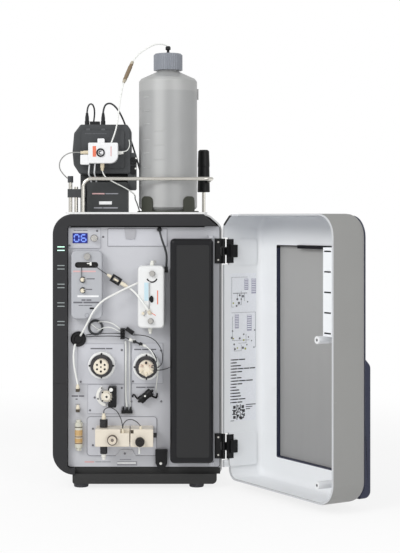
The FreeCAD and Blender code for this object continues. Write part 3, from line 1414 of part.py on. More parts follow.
def generator_housing():
    """Two-part dark housing, the stand behind the degasser and the clamps on the posts."""
    lower, upper = GENERATOR_BOTTOM, GENERATOR_TOP
    front, back = GENERATOR_FRONT, GENERATOR_BACK
    body = front_slab([(-126, lower, 6), (-139, lower + 20, 12), (-141.5, lower + 49, 20),
                       (-138, upper - 18.6, 6), (-124, upper, 5), (-24, upper, 5),
                       (-16.5, upper - 10.6, 4), (-15.7, lower, 6)], front, back)
    body = round_edges(body, 4, front_edges(front))
    face = front_slab(rectangle(-122, -30, lower + 12, upper - 12.6, 6), front - 3, front)
    stand = box(-128, -24, DEGASSER[3] + 1, back, TOP_SEAT, lower + 2)
    side = front_slab(rectangle(-22, -4.5, lower - 34, lower + 46, 4), front + 4, front + 56)
    clamp_bottom, clamp_top = lower - 50, lower - 32
    clamp = box(POST_A[0] - 5.8, POST_B[0] + 7.9, POST_ROW - 7, POST_ROW + 7,
                clamp_bottom, clamp_top)
    web = box(POST_B[0] + 3.9, -112, POST_ROW - 7, DEGASSER[3] + 6, clamp_bottom, clamp_top)
    cap = rod_z(*POST_A, 6, POST_A_TOP - 7.5, POST_A_TOP + 6.5)
    whole = fuse(body, face, stand, side, clamp, web)
    rail_posts = bottle_rail()
    return Part.makeCompound([cut(whole, rail_posts, degasser_box()), cut(cap, rail_posts)])


PLUG_ROW = GENERATOR_FRONT + 30
PLUGS = ((-111.6, PLUG_ROW), (-76.7, PLUG_ROW))
PLUG_LENGTH = 27.0
PLUG_TOP = GENERATOR_TOP + PLUG_LENGTH
DROP_GLAND = (20.0, FRONT + 239)


def cable_plugs():
    pieces = []
    for x, y in PLUGS:
        profile = [(0, 0), (5, 0), (5, 9), (4.2, 10), (4.2, 16), (2.6, PLUG_LENGTH),
                   (0, PLUG_LENGTH)]
        pieces.append(turned(profile, (x, y, GENERATOR_TOP), (0, 0, 1)))
    block = rectangle(PLUGS[0][0] + 6.1, PLUGS[1][0] - 7.3, PLUG_ROW - 8, PLUG_ROW + 22, 2)
    pieces.append(plan_slab(block, GENERATOR_TOP, GENERATOR_TOP + 8))
    pieces.append(turned([(0, 0), (5, 0), (5, 2), (3, 5), (0, 5)],
                         (*DROP_GLAND, TOP_SEAT), (0, 0, 1)))
    return Part.makeCompound(pieces)


TRAP = (-106.0, -42.6, GENERATOR_BOTTOM + 22, GENERATOR_BOTTOM + 66)
TRAP_LINE = TRAP[2] + 23.5


def trap_block():
    """White cartridge holder with a round lower corner, a side foot and a tab."""
    x0, x1, z0, z1 = TRAP
    seat = GENERATOR_FRONT - 3
    body = front_slab([(x0, z0, 3), (x0, z1, 3), (x1, z1, 3), (x1, z0, 17)], TRAP_FRONT, seat)
    foot = front_slab(rectangle(x0 - 16.9, x0 + 2, z0 - 2.3, z0 + 18.5, 2), TRAP_FRONT + 4, seat)
    tab = front_slab(rectangle(-86.3, -71.5, z1 - 6, z1 + 9, 2), TRAP_FRONT + 3, seat - 4)
    body = round_edges(body, 2, front_edges(TRAP_FRONT))
    ring_x, ring_z = x0 + 26.5, z0 + 22.7
    ring = cut(rod_y(ring_x, ring_z, 9, TRAP_FRONT - 1.5, TRAP_FRONT),
               rod_y(ring_x, ring_z, 6.2, TRAP_FRONT - 2, TRAP_FRONT + 1))
    return fuse(body, foot, tab, ring)


TRAP_Y = TRAP_FRONT + 14


def trap_fittings():
    """Fittings and stiff lines of the trap block."""
    x0, x1, z0, z1 = TRAP
    pieces = [
        fitting((x0, TRAP_Y, TRAP_LINE), (-1, 0, 0), 4.3, 17),
        fitting((x1, TRAP_Y, TRAP_LINE - 0.8), (1, 0, 0), 4, 11),
        fitting((-76.4, TRAP_Y, z0), (0, 0, -1), 4.5, 15.2),
    ]
    top = TOP_SEAT + DEGASSER[4]
    for start, end in (((-104, TRAP_Y, z0 - 2.3), (-101, TRAP_Y + 22, top)),
                       ((-92, TRAP_Y, z0), (-90, TRAP_Y + 22, top))):
        x, y, z = start
        ex, ey, ez = end
        pieces.append(tube([start, (x - 1, y, z - 11), (x - 2, y + 5, z - 21),
                            (ex - 1, ey - 4, ez + 9), end], 1.6))
    return Part.makeCompound(pieces)


# Flexible lines and cables


def on_top(*points):
    """A route above the cabinet: (x, distance behind the front, height above the top cover)."""
    return [(x, FRONT + behind, TOP_SEAT + height) for x, behind, height in points]


def on_fascia(*points):
    """A route before the fascia: (x, distance in front of it, z)."""
    return [(x, FASCIA - ahead, z) for x, ahead, z in points]


SLEEVE_RADIUS = 4.4
ELUENT_LINE_RADIUS = 1.6
ELUENT_UPPER = on_top(
    (62.0, 133.0, 362.2), (43.0, 130.0, 367.5), (19.0, 125.0, 356.0), (-3.0, 120.0, 340.0),
    (-12.4, 116.0, 325.5))
SLEEVE_TOP = ELUENT_UPPER[-1]
ELUENT_LOWER = on_top(
    (-31.8, 108.0, 279.0), (-36.5, 103.0, 258.0), (-41.0, 96.0, 225.0), (-44.0, 89.0, 193.0),
    (-49.5, 85.0, 169.0), (-57.4, 84.0, 148.0))
SLEEVE_BOTTOM = ELUENT_LOWER[0]
LOOP_CABLE_RADIUS = 1.8
LOOP_CABLE = on_top(
    (-111.6, 130.0, 215.6), (-111.0, 132.0, 226.0), (-107.0, 142.0, 236.0),
    (-101.0, 160.0, 237.0), (-97.5, 176.0, 227.0), (-98.5, 186.0, 209.0),
    (-102.0, 189.0, 188.6))
DROP_CABLE_RADIUS = 2.0
DROP_CABLE = on_top(
    (-76.7, 130.0, 215.6), (-75.6, 132.5, 226.5), (-70.0, 143.0, 237.0), (-58.0, 166.0, 239.0),
    (-42.0, 196.0, 222.0), (-26.0, 232.0, 182.0), (-10.0, 243.0, 134.0), (5.0, 244.0, 81.0),
    (17.0, 240.0, 38.0), (20.0, 239.0, 5.0))
SIDE_LINE_RADIUS = 1.2
SIDE_LINE = on_top(
    (-123.0, 84.0, 127.5), (-140.0, 84.0, 129.0), (-158.0, 86.0, 122.0), (-169.5, 91.0, 107.0),
    (-168.0, 100.0, 87.0), (-152.4, 110.0, 73.0))
DRAIN_LINE_RADIUS = 1.3
DRAIN_LINE = on_top(
    (-76.4, 84.0, 88.6), (-73.0, 82.0, 76.0), (-54.0, 79.0, 65.0), (-27.0, 81.0, 52.0),
    (-6.0, 99.0, 38.0), (-8.0, 128.0, 29.0), (-3.0, 156.0, 19.0), (2.0, 174.0, 0.0))
SUPPRESSOR_CABLE_RADIUS = 2.2
SUPPRESSOR_CABLE = on_fascia(
    (45.9, 8.0, 538.0), (46.3, 24.0, 534.5), (50.5, 31.0, 518.0), (57.5, 28.0, 499.0),
    (61.8, 20.0, 481.0), (60.0, 16.0, 461.0))
SUPPRESSOR_LINE = on_fascia(
    (1.1, 15.0, 427.0), (-20.0, 23.0, 418.0), (-45.0, 29.5, 405.5), (-72.0, 32.0, 391.5),
    (-90.0, 32.0, 371.0), (-101.0, 29.0, 349.0), (-111.0, 21.0, 330.0), (-118.5, 8.2, 317.0))
UNION_LINE = on_fascia(
    (-20.7, 14.0, 418.7), (-9.0, 19.5, 411.5), (0.0, 32.0, 402.5), (9.0, 37.7, 391.5),
    (17.0, 40.8, 380.5), (23.4, 38.2, 371.4))
PORT_LINE = on_fascia(
    (-129.5, 8.2, 299.0), (-132.0, 17.0, 288.0), (-132.5, 19.0, 268.0), (-130.0, 17.5, 246.0),
    (-126.5, 15.0, 230.0), (-124.0, 14.0, 216.0))


def line_sleeve():
    start, end = V(*SLEEVE_TOP), V(*SLEEVE_BOTTOM)
    run = end - start
    length = run.Length
    r = SLEEVE_RADIUS
    profile = [(0, 0), (r - 1.4, 0), (r - 0.6, 5), (r - 0.6, 12), (r, 13), (r, length - 14),
               (r - 0.6, length - 13), (r, length - 8), (r - 1.4, length), (0, length)]
    return turned(profile, SLEEVE_TOP, tuple(run))


def routed_lines():
    return {
        "eluent_line_upper": tube(ELUENT_UPPER, ELUENT_LINE_RADIUS, "eluent_line_upper"),
        "eluent_line_lower": tube(ELUENT_LOWER, ELUENT_LINE_RADIUS, "eluent_line_lower"),
        "loop_cable": tube(LOOP_CABLE, LOOP_CABLE_RADIUS, "loop_cable"),
        "drop_cable": tube(DROP_CABLE, DROP_CABLE_RADIUS, "drop_cable"),
        "trap_side_line": tube(SIDE_LINE, SIDE_LINE_RADIUS, "trap_side_line"),
        "trap_drain_line": tube(DRAIN_LINE, DRAIN_LINE_RADIUS, "trap_drain_line"),
        "suppressor_cable": tube(SUPPRESSOR_CABLE, SUPPRESSOR_CABLE_RADIUS, "suppressor_cable"),
        "suppressor_line": tube(SUPPRESSOR_LINE, LINE_RADIUS, "suppressor_line"),
        "union_line": tube(UNION_LINE, LINE_RADIUS, "union_line"),
        "port_line": tube(PORT_LINE, LINE_RADIUS, "port_line"),
    }


def fixed_pieces():
    return {
        "cabinet_casing": cabinet_casing(),
        "front_bezel": front_bezel(),
        "fascia_panel": fascia_panel(),
        "base_plinth": base_plinth(),
        "feet": feet(),
        "top_cover": top_cover(),
        "rear_panel": rear_panel(),
        "column_oven": column_oven(),
        "columns": columns(),
        "fascia_plates": fascia_plates(),
        "detector_module": detector_module(),
        "suppressor_body": suppressor_body(),
        "steel_fittings": steel_fittings(),
        "valve_collars": valve_collars(),
        "valve_stators": valve_stators(),
        "peek_fittings": peek_fittings(),
        "wash_pump_housing": wash_pump_housing(),
        "pump_heads": Part.makeCompound([primary_pump_head(), secondary_pump_head()]),
        "panel_capillaries": panel_capillaries(),
        "inline_filter": inline_filter(),
        "tube_guides": tube_guides(),
        "mixer": mixer(),
        "hinge_fixed_leaves": hinge_fixed_leaves(),
        "inner_units": Part.makeCompound([pump_drive(), power_supply()]),
        "bottle_rail": bottle_rail(),
        "bottle_holder": bottle_holder(),
        "eluent_bottle": eluent_bottle(),
        "eluent_liquid": eluent_liquid(),
        "degasser_box": degasser_box(),
        "generator_housing": generator_housing(),
        "cable_plugs": cable_plugs(),
        "trap_block": trap_block(),
        "trap_fittings": trap_fittings(),
        "post_canister": post_canister(),
        "line_sleeve": line_sleeve(),
    }


def moving_pieces():
    return {
        "door_shell": door_shell(),
        "door_front_panel": door_front_panel(),
        "door_jamb": door_jamb(),
        "door_light_guide": door_light_guide(),
        "door_seal": door_seal(),
        "door_hinge_leaves": door_hinge_leaves(),
        "column_cover": column_cover(),
        "display_knob": display_knob(),
        "waste_knob": pump_knob(WASTE_KNOB, 10.5, 9),
        "priming_knob": pump_knob(PRIMING_KNOB, 9.5, 12),
        "wash_rotor": wash_rotor(),
        "bottle_cap": bottle_cap(),
        "cap_fitting": cap_fitting(),
        "power_rocker": power_rocker(),
        "fan_rotor": fan_rotor(),
    }


# Each line stops at the surface of what it plugs into, in this order.
SEATS = {
    "tube_guides": ("panel_capillaries",),
    "panel_capillaries": ("peek_fittings",),
    "trap_fittings": ("degasser_box", "trap_block"),
    "eluent_line_lower": ("trap_block", "line_sleeve"),
    "eluent_line_upper": ("cap_fitting", "line_sleeve"),
    "loop_cable": ("cable_plugs", "generator_housing"),
    "drop_cable": ("cable_plugs",),
    "trap_side_line": ("trap_fittings", "generator_housing"),
    "trap_drain_line": ("trap_fittings", "top_cover"),
    "suppressor_cable": ("tube_guides",),
    "suppressor_line": ("suppressor_body", "tube_guides"),
    "union_line": ("peek_fittings",),
    "port_line": ("tube_guides", "peek_fittings"),
}


def seat_lines(pieces):
    for name, seats in SEATS.items():
        solids = []
        for solid in pieces[name].Solids:
            for seat in seats:
                if solid.BoundBox.intersect(pieces[seat].BoundBox):
                    solid = solid.cut(pieces[seat])
            solids.append(max(solid.Solids, key=lambda s: s.Volume))
        pieces[name] = solids[0] if len(solids) == 1 else Part.makeCompound(solids)


def write_parts(pieces):
    os.makedirs("parts", exist_ok=True)
    for name, shape in pieces.items():
        shape.exportStep("parts/" + name + ".step")


all_pieces = {**fixed_pieces(), **moving_pieces(), **routed_lines()}
seat_lines(all_pieces)
write_parts(all_pieces)
for name, (bend, length) in cord_radii.items():
    print(name, "tightest bend", round(bend, 1), "diameters, length", round(length), "mm")
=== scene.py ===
# %% [markdown]
# # Dressing a benchtop ion chromatograph
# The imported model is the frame: every piece has its true size and place already.
# This lesson gives each surface its finish, makes the flexible lines as smooth curves,
# and adds what is too thin or small for a solid model, such as screws, captions and lights.

# %% Load the frame
import math

import bmesh
import bpy
from mathutils.geometry import tessellate_polygon
from mathutils import Matrix, Vector


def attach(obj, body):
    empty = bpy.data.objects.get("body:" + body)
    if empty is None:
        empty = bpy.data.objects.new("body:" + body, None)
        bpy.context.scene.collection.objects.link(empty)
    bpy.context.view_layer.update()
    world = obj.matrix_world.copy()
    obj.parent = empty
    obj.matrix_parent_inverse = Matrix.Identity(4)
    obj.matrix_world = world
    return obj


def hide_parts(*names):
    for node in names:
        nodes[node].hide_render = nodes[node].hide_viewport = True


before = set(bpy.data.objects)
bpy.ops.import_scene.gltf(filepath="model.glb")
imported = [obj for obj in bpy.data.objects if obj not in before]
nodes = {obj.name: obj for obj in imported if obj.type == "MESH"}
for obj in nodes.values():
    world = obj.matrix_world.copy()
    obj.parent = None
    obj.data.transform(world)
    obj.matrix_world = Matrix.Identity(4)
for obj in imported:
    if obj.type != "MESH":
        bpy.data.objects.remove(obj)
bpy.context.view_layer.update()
scene = bpy.context.scene
print("frame loaded:", len(nodes), "nodes")

# %% [markdown]
# ## Camera
# The photograph is taken from far away with a long lens, level with the top of the cabinet.
# A level camera with a small shift keeps upright edges upright, as they are in the photograph.

# %% Camera
EYE = (0.0577, -3.160, 0.562)
LENS = 91.9
SHIFT = (0.063, -0.106)

camera_data = bpy.data.cameras.new("camera")
camera_data.lens = LENS
camera_data.shift_x, camera_data.shift_y = SHIFT
camera = bpy.data.objects.new("camera", camera_data)
camera.location = EYE
camera.rotation_euler = (math.radians(90), 0, 0)
scene.collection.objects.link(camera)
scene.camera = camera
scene.view_settings.view_transform = "Standard"
print("camera at", EYE)

# %% [markdown]
# ## A small kit for materials
# Shader maths reads best as a formula. Value wraps one socket, so that a sum or a product on it
# adds the Math node by itself, and Finish holds one material with one method for every other node.
# Colours are written as they look in the photograph, 0 to 255, and turned into linear numbers.

# %% Colours
def rgb(red, green, blue):
    """A colour as a picture shows it, as the linear numbers that a shader wants."""
    levels = [c / 255 for c in (red, green, blue)]
    linear = [c / 12.92 if c < 0.04045 else ((c + 0.055) / 1.055) ** 2.4 for c in levels]
    return (*linear, 1.0)


def toned(colour, factor):
    """The same colour, lighter or darker."""
    return (*[min(1.0, c * factor) for c in colour[:3]], 1.0)


# %% Value and Finish
class Value:
    """One socket of a finish. Sums, products and comparisons on it add Math nodes."""

    def __init__(self, finish, socket):
        self.finish = finish
        self.socket = socket

    def math(self, operation, a, b=0.0):
        return self.finish.node("ShaderNodeMath", {"operation": operation}, {0: a, 1: b})

    def __add__(self, other):
        return self.math("ADD", self, other)

    def __sub__(self, other):
        return self.math("SUBTRACT", self, other)

    def __rsub__(self, other):
        return self.math("SUBTRACT", other, self)

    def __mul__(self, other):
        return self.math("MULTIPLY", self, other)

    def __pow__(self, other):
        return self.math("POWER", self, other)

    def __gt__(self, other):
        return self.math("GREATER_THAN", self, other)

    def __lt__(self, other):
        return self.math("LESS_THAN", self, other)

    __radd__ = __add__
    __rmul__ = __mul__


class Finish:
    """A material for one finish of the object."""

    def __init__(self, name, fixed=None):
        self.material = bpy.data.materials.new(name)
        self.material.use_nodes = True
        self.tree = self.material.node_tree
        self.shader = self.tree.nodes["Principled BSDF"]
        self.place = self.node("ShaderNodeTexCoord", output="Object")
        self.axes = {}
        for socket, value in (fixed or {}).items():
            self.set(socket, value)

    def node(self, kind, settings=None, inputs=None, output=0):
        """Adds a node: its settings first, then the values or links of its sockets."""
        node = self.tree.nodes.new(kind)
        for key, value in (settings or {}).items():
            if key == "stops":
                self.set_stops(node.color_ramp, value)
            else:
                setattr(node, key, value)
        for key, value in (inputs or {}).items():
            self.feed(node.inputs[key], value)
        return Value(self, node.outputs[output])

    def set_stops(self, ramp, stops):
        while len(ramp.elements) < len(stops):
            ramp.elements.new(1.0)
        for element, (position, colour) in zip(ramp.elements, stops):
            element.position = position
            element.color = colour

    def feed(self, socket, value):
        if isinstance(value, Value):
            self.tree.links.new(value.socket, socket)
        else:
            socket.default_value = value

    def set(self, socket, value):
        self.feed(self.shader.inputs[socket], value)

    def blend(self, factor, a, b):
        """Colour a where the factor is 0 and colour b where it is 1."""
        return self.node("ShaderNodeMix", {"data_type": "RGBA"}, {0: factor, 6: a, 7: b}, output=2)

    def noise(self, scale, detail=2.0, stretch=(1, 1, 1)):
        where = self.node("ShaderNodeMapping", inputs={"Vector": self.place, "Scale": stretch})
        return self.node("ShaderNodeTexNoise",
                         inputs={"Vector": where, "Scale": scale, "Detail": detail})

    def axis(self, letter):
        """The X, Y or Z of the object's own space, in metres."""
        if not self.axes:
            split = self.node("ShaderNodeSeparateXYZ", inputs={"Vector": self.place})
            outputs = split.socket.node.outputs
            self.axes = {name: Value(self, outputs[name]) for name in "XYZ"}
        return self.axes[letter]

    def fade(self, value, start, end):
        """0 up to start, 1 from end on, and smooth in between."""
        return self.node("ShaderNodeMapRange", {"interpolation_type": "SMOOTHSTEP"},
                         {"Value": value, "From Min": start, "From Max": end})

    def inside(self, **limits):
        """1 inside the box given in millimetres, such as X=(-10, 20), and 0 outside it."""
        mask = None
        for letter, (low, high) in limits.items():
            value = self.axis(letter)
            for test in ([value > low / 1000] if low is not None else []) + (
                    [value < high / 1000] if high is not None else []):
                mask = test if mask is None else mask * test
        return mask

    def bump(self, height, distance, strength=1.0):
        normal = self.node("ShaderNodeBump",
                           inputs={"Height": height, "Distance": distance, "Strength": strength})
        self.set("Normal", normal)


print("material kit ready")

# %% [markdown]
# ## Three families of finish
# Most of the instrument is moulded plastic, painted sheet or satin metal. Each family is one
# function: moulding has a fine spark texture and a slow drift of tone, paint has a soft orange
# peel, and metal has grain drawn out along the way it was brushed or turned.

# %% Moulded, painted and brushed surfaces
def moulded(name, colour, roughness=0.5, grain=0.00006, scale=1400, drift=0.05, fixed=None):
    """Dark mouldings get a lower reflection than pale ones, as matt plastic does."""
    dull = {"Specular IOR Level": 0.28} if max(colour[:3]) < 0.12 else {}
    finish = Finish(name, {**dull, **(fixed or {})})
    slow = finish.noise(7, 3)
    finish.colour = finish.blend(slow, toned(colour, 1 - drift), toned(colour, 1 + drift))
    finish.set("Base Color", finish.colour)
    spark = finish.noise(scale, 2)
    finish.set("Roughness", (slow - 0.5) * 0.12 + spark * 0.08 + (roughness - 0.04))
    finish.bump(spark, grain, 0.6)
    return finish


def painted(name, colour, roughness=0.42, metallic=0.0, drift=0.02):
    finish = Finish(name, {"Metallic": metallic, "Coat Roughness": 0.3})
    slow = finish.noise(4, 2)
    fleck = finish.noise(2600, 1)
    mixed = slow * 0.7 + fleck * 0.3
    finish.colour = finish.blend(mixed, toned(colour, 1 - drift), toned(colour, 1 + drift))
    finish.set("Base Color", finish.colour)
    peel = finish.noise(420, 2)
    finish.set("Roughness", (slow - 0.5) * 0.1 + roughness)
    finish.set("Coat Weight", slow * 0.12)
    finish.bump(peel, 0.00003, 0.5)
    return finish


def brushed(name, colour, roughness=0.3, stretch=(1, 1, 30), scale=120, drift=0.12):
    finish = Finish(name, {"Metallic": 1.0})
    grain = finish.noise(scale, 3, stretch)
    smear = finish.noise(16, 3)
    mixed = grain * 0.6 + smear * 0.4
    finish.colour = finish.blend(mixed, toned(colour, 1 - drift), toned(colour, 1 + drift))
    finish.set("Base Color", finish.colour)
    finish.set("Roughness", (grain - 0.5) * 0.2 + (smear - 0.5) * 0.16 + roughness)
    finish.bump(grain, 0.00003, 0.5)
    return finish


def repaint(finish, mask, colour, drift=0.05):
    """Paints one more colour over a finish, where the mask is 1."""
    slow = finish.noise(11, 3)
    tone = finish.blend(slow, toned(colour, 1 - drift), toned(colour, 1 + drift))
    finish.colour = finish.blend(mask, finish.colour, tone)
    finish.set("Base Color", finish.colour)
    return finish


def repaint_box(finish, colour, **limits):
    """Paints one more colour over a finish, inside a box given in millimetres."""
    return repaint(finish, finish.inside(**limits), colour)


# %% [markdown]
# ## Flexible lines and cables
# Each real line is a length of soft tube pushed into a fitting at both ends, so it bends in one
# smooth sweep. A NURBS spline whose control points are the route's points gives just that, and
# a round bevel gives it its thickness.

# %% Finishes of the lines
def tubing(name, colour, roughness, drift, fixed=None):
    finish = Finish(name, fixed)
    slow = finish.noise(40, 2)
    finish.set("Base Color", finish.blend(slow, toned(colour, 1 - drift), toned(colour, 1 + drift)))
    fine = finish.noise(900, 2)
    finish.set("Roughness", fine * 0.1 + roughness)
    finish.bump(fine, 0.00004, 0.3)
    return finish


LINE_WHITE = tubing("translucent white tubing", rgb(236, 237, 234), 0.28, 0.04,
                    {"Subsurface Weight": 0.3, "Subsurface Radius": (0.002, 0.002, 0.002),
                     "Subsurface Scale": 0.5})
LINE_DARK = tubing("dark cable jacket", rgb(52, 54, 57), 0.42, 0.1)
LINE_GRAY = tubing("frosted side tubing", rgb(150, 150, 148), 0.35, 0.06)

# %% The lines
LINES = {
    "eluent_line_upper": (0.0016, 0.091, LINE_WHITE, "fitting", [
        (0.0620, -0.0970, 0.9362), (0.0430, -0.1000, 0.9415), (0.0190, -0.1050, 0.9300),
        (-0.0030, -0.1100, 0.9140), (-0.0124, -0.1140, 0.8995)]),
    "eluent_line_lower": (0.0016, 0.136, LINE_WHITE, "object", [
        (-0.0318, -0.1220, 0.8530), (-0.0365, -0.1270, 0.8320), (-0.0410, -0.1340, 0.7990),
        (-0.0440, -0.1410, 0.7670), (-0.0495, -0.1450, 0.7430), (-0.0574, -0.1460, 0.7220)]),
    "loop_cable": (0.0018, 0.103, LINE_DARK, "object", [
        (-0.1116, -0.1000, 0.7896), (-0.1110, -0.0980, 0.8000), (-0.1070, -0.0880, 0.8100),
        (-0.1010, -0.0700, 0.8110), (-0.0975, -0.0540, 0.8010), (-0.0985, -0.0440, 0.7830),
        (-0.1020, -0.0410, 0.7626)]),
    "drop_cable": (0.0020, 0.329, LINE_DARK, "object", [
        (-0.0767, -0.1000, 0.7896), (-0.0756, -0.0975, 0.8005), (-0.0700, -0.0870, 0.8110),
        (-0.0580, -0.0640, 0.8130), (-0.0420, -0.0340, 0.7960), (-0.0260, 0.0020, 0.7560),
        (-0.0100, 0.0130, 0.7080), (0.0050, 0.0140, 0.6550), (0.0170, 0.0100, 0.6120),
        (0.0200, 0.0090, 0.5790)]),
    "trap_side_line": (0.0012, 0.099, LINE_GRAY, "object", [
        (-0.1230, -0.1460, 0.7015), (-0.1400, -0.1460, 0.7030), (-0.1580, -0.1440, 0.6960),
        (-0.1695, -0.1390, 0.6810), (-0.1680, -0.1300, 0.6610), (-0.1524, -0.1200, 0.6470)]),
    "trap_drain_line": (0.0013, 0.180, LINE_WHITE, "object", [
        (-0.0764, -0.1460, 0.6626), (-0.0730, -0.1480, 0.6500), (-0.0540, -0.1510, 0.6390),
        (-0.0270, -0.1490, 0.6260), (-0.0060, -0.1310, 0.6120), (-0.0080, -0.1020, 0.6030),
        (-0.0030, -0.0740, 0.5930), (0.0020, -0.0560, 0.5740)]),
    "suppressor_cable": (0.0022, 0.094, LINE_DARK, "object", [
        (0.0459, -0.2220, 0.5380), (0.0463, -0.2380, 0.5345), (0.0505, -0.2450, 0.5180),
        (0.0575, -0.2420, 0.4990), (0.0618, -0.2340, 0.4810), (0.0600, -0.2300, 0.4610)]),
    "suppressor_line": (0.0020, 0.177, LINE_WHITE, "object", [
        (0.0011, -0.2290, 0.4270), (-0.0200, -0.2370, 0.4180), (-0.0450, -0.2435, 0.4055),
        (-0.0720, -0.2460, 0.3915), (-0.0900, -0.2460, 0.3710), (-0.1010, -0.2430, 0.3490),
        (-0.1110, -0.2350, 0.3300), (-0.1185, -0.2222, 0.3170)]),
    "union_line": (0.0020, 0.073, LINE_WHITE, "object", [
        (-0.0207, -0.2280, 0.4187), (-0.0090, -0.2335, 0.4115), (0.0000, -0.2460, 0.4025),
        (0.0090, -0.2517, 0.3915), (0.0170, -0.2548, 0.3805), (0.0234, -0.2522, 0.3714)]),
    "port_line": (0.0020, 0.087, LINE_WHITE, "object", [
        (-0.1295, -0.2222, 0.2990), (-0.1320, -0.2310, 0.2880), (-0.1325, -0.2330, 0.2680),
        (-0.1300, -0.2315, 0.2460), (-0.1265, -0.2290, 0.2300), (-0.1240, -0.2280, 0.2160)]),
}


def round_line(name, route, radius, resolution, bevel):
    """A round NURBS line that follows the points of its route, in metres."""
    data = bpy.data.curves.new(name, "CURVE")
    data.dimensions = "3D"
    spline = data.splines.new("NURBS")
    spline.points.add(len(route) - 1)
    for point, place in zip(spline.points, route):
        point.co = (*place, 1.0)
    spline.order_u = 3
    spline.use_endpoint_u = True
    spline.resolution_u = resolution
    data.bevel_depth = radius
    data.bevel_resolution = bevel
    data.use_fill_caps = True
    return data


def flexible_line(name, radius, length, finish, far_end, route):
    data = round_line(name + "_curve", route, radius, resolution=14, bevel=5)
    data.materials.append(finish.material)
    line = bpy.data.objects.new(name + "_smooth", data)
    scene.collection.objects.link(line)
    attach(line, "cabinet")
    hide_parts(name)
    pieces = [nodes["line_sleeve"]] if name == "eluent_line_upper" else []
    2 * radius
    return line


lines = [flexible_line(name, *facts) for name, facts in LINES.items()]
print("lines made:", len(lines))

# %% [markdown]
# ## Finishes of the cabinet
# The fascia is silver-gray painted sheet, the bezel, plinth and feet are charcoal moulding and
# rubber, and the casing is light satin paint. All of them are plain, so what tells them apart is
# their tone, their sheen and the size of their grain.

# %% Cabinet finishes
SILVER = painted("silver fascia paint", rgb(198, 199, 204), 0.38, 0.12)
CASING = painted("light casing paint", rgb(206, 207, 208), 0.45)
WHITE_COVER = painted("white top paint", rgb(240, 240, 240), 0.4)
REAR = painted("rear panel paint", rgb(150, 152, 154), 0.5)
CHARCOAL = moulded("charcoal moulding", rgb(46, 46, 48), 0.5)
BASE = moulded("dark base moulding", rgb(52, 52, 52), 0.56)
RUBBER = moulded("foot rubber", rgb(74, 74, 78), 0.66, 0.0001, 900)
BLACK = moulded("black moulding", rgb(22, 22, 24), 0.4)
UNIT = moulded("unit gray", rgb(88, 90, 93), 0.5)
STEEL = brushed("satin steel", rgb(196, 194, 188), 0.26)
RAIL = brushed("turned rail steel", rgb(224, 221, 213), 0.22, (40, 1, 1))

# The bezel's inner walls lie in the shade of the recess and are nearly black.
repaint_box(CHARCOAL, rgb(16, 16, 17), X=(-146.2, 173), Y=(-229.6, None), Z=(42, 546))

# %% Plates and their display
PLATES = painted("plate paint", rgb(203, 204, 210), 0.36, 0.2)
SCREEN_AREA = {"X": (-135.3, -103.9), "Y": (None, -215.7), "Z": (509.3, 530.3)}
repaint_box(PLATES, rgb(20, 32, 132), **SCREEN_AREA)
TAB_AREA = {"X": (-28, -2), "Y": (None, -215.7), "Z": (517, 540)}
repaint_box(PLATES, rgb(176, 176, 181), **TAB_AREA)

# %% [markdown]
# ## Finishes of the modules
# Modules on the fascia differ in small parts, such as a black slot in a gray body. Where one
# node holds two colours, the second is laid on by its place in millimetres, which needs no
# unwrapping and stays put when a piece moves.

# %% Module finishes
DETECTOR = moulded("detector body", rgb(177, 179, 184), 0.42, 0.00004)
repaint_box(DETECTOR, rgb(22, 22, 24), X=(-129.3, -80.7), Y=(-237.4, -215), Z=(458.5, 470.7))
repaint_box(DETECTOR, rgb(26, 26, 28), X=(-99.1, -88.9), Y=(-237.4, -215), Z=(372.5, 376.7))

WHITE_PLASTIC = moulded("white moulding", rgb(238, 238, 234), 0.32, 0.00003, drift=0.02)
COLLAR = moulded("valve collar", rgb(238, 239, 238), 0.3, 0.00003, drift=0.02)
SUPPRESSOR = moulded("suppressor body", rgb(230, 231, 231), 0.3, 0.00003, drift=0.02)
repaint_box(SUPPRESSOR, rgb(24, 25, 27), X=(25.9, 33.6), Y=(-245.4, -240), Z=(386.9, 399.1))
STATOR = moulded("cream stator", rgb(233, 224, 206), 0.34, 0.00003, drift=0.03)
CREAM = moulded("cream fittings", rgb(232, 223, 202), 0.36, 0.00003, drift=0.04)
HEAD = moulded("cream pump head", rgb(229, 220, 204), 0.34, 0.00003, drift=0.02)
MIXER = moulded("black mixer", rgb(17, 17, 19), 0.42)
COVER = moulded("column cover", rgb(21, 21, 24), 0.36, 0.00008, 1100)
repaint_box(COVER, rgb(42, 42, 43), Y=(None, -262.6))

# %% Collar with its dark body
def ring_mask(finish, x, z, low, high):
    """1 between two radii round a point of the fascia, in millimetres."""
    across = finish.axis("X") - x / 1000
    up = finish.axis("Z") - z / 1000
    radius = (across * across + up * up) ** 0.5
    return (radius > low / 1000) * (radius < high / 1000)


VALVES = ((-73.8, 256.9), (19.1, 254.0))
for valve in VALVES:
    repaint(COLLAR, ring_mask(COLLAR, *valve, 0, 23.2), rgb(58, 57, 60))

KNURLED = brushed("valve and thumbscrew steel", rgb(196, 194, 190), 0.3, (1, 1, 8))
check_valves = KNURLED.inside(Z=(None, 250))
repaint(KNURLED, check_valves, rgb(28, 28, 30))
KNURLED.set("Metallic", 1 - check_valves)

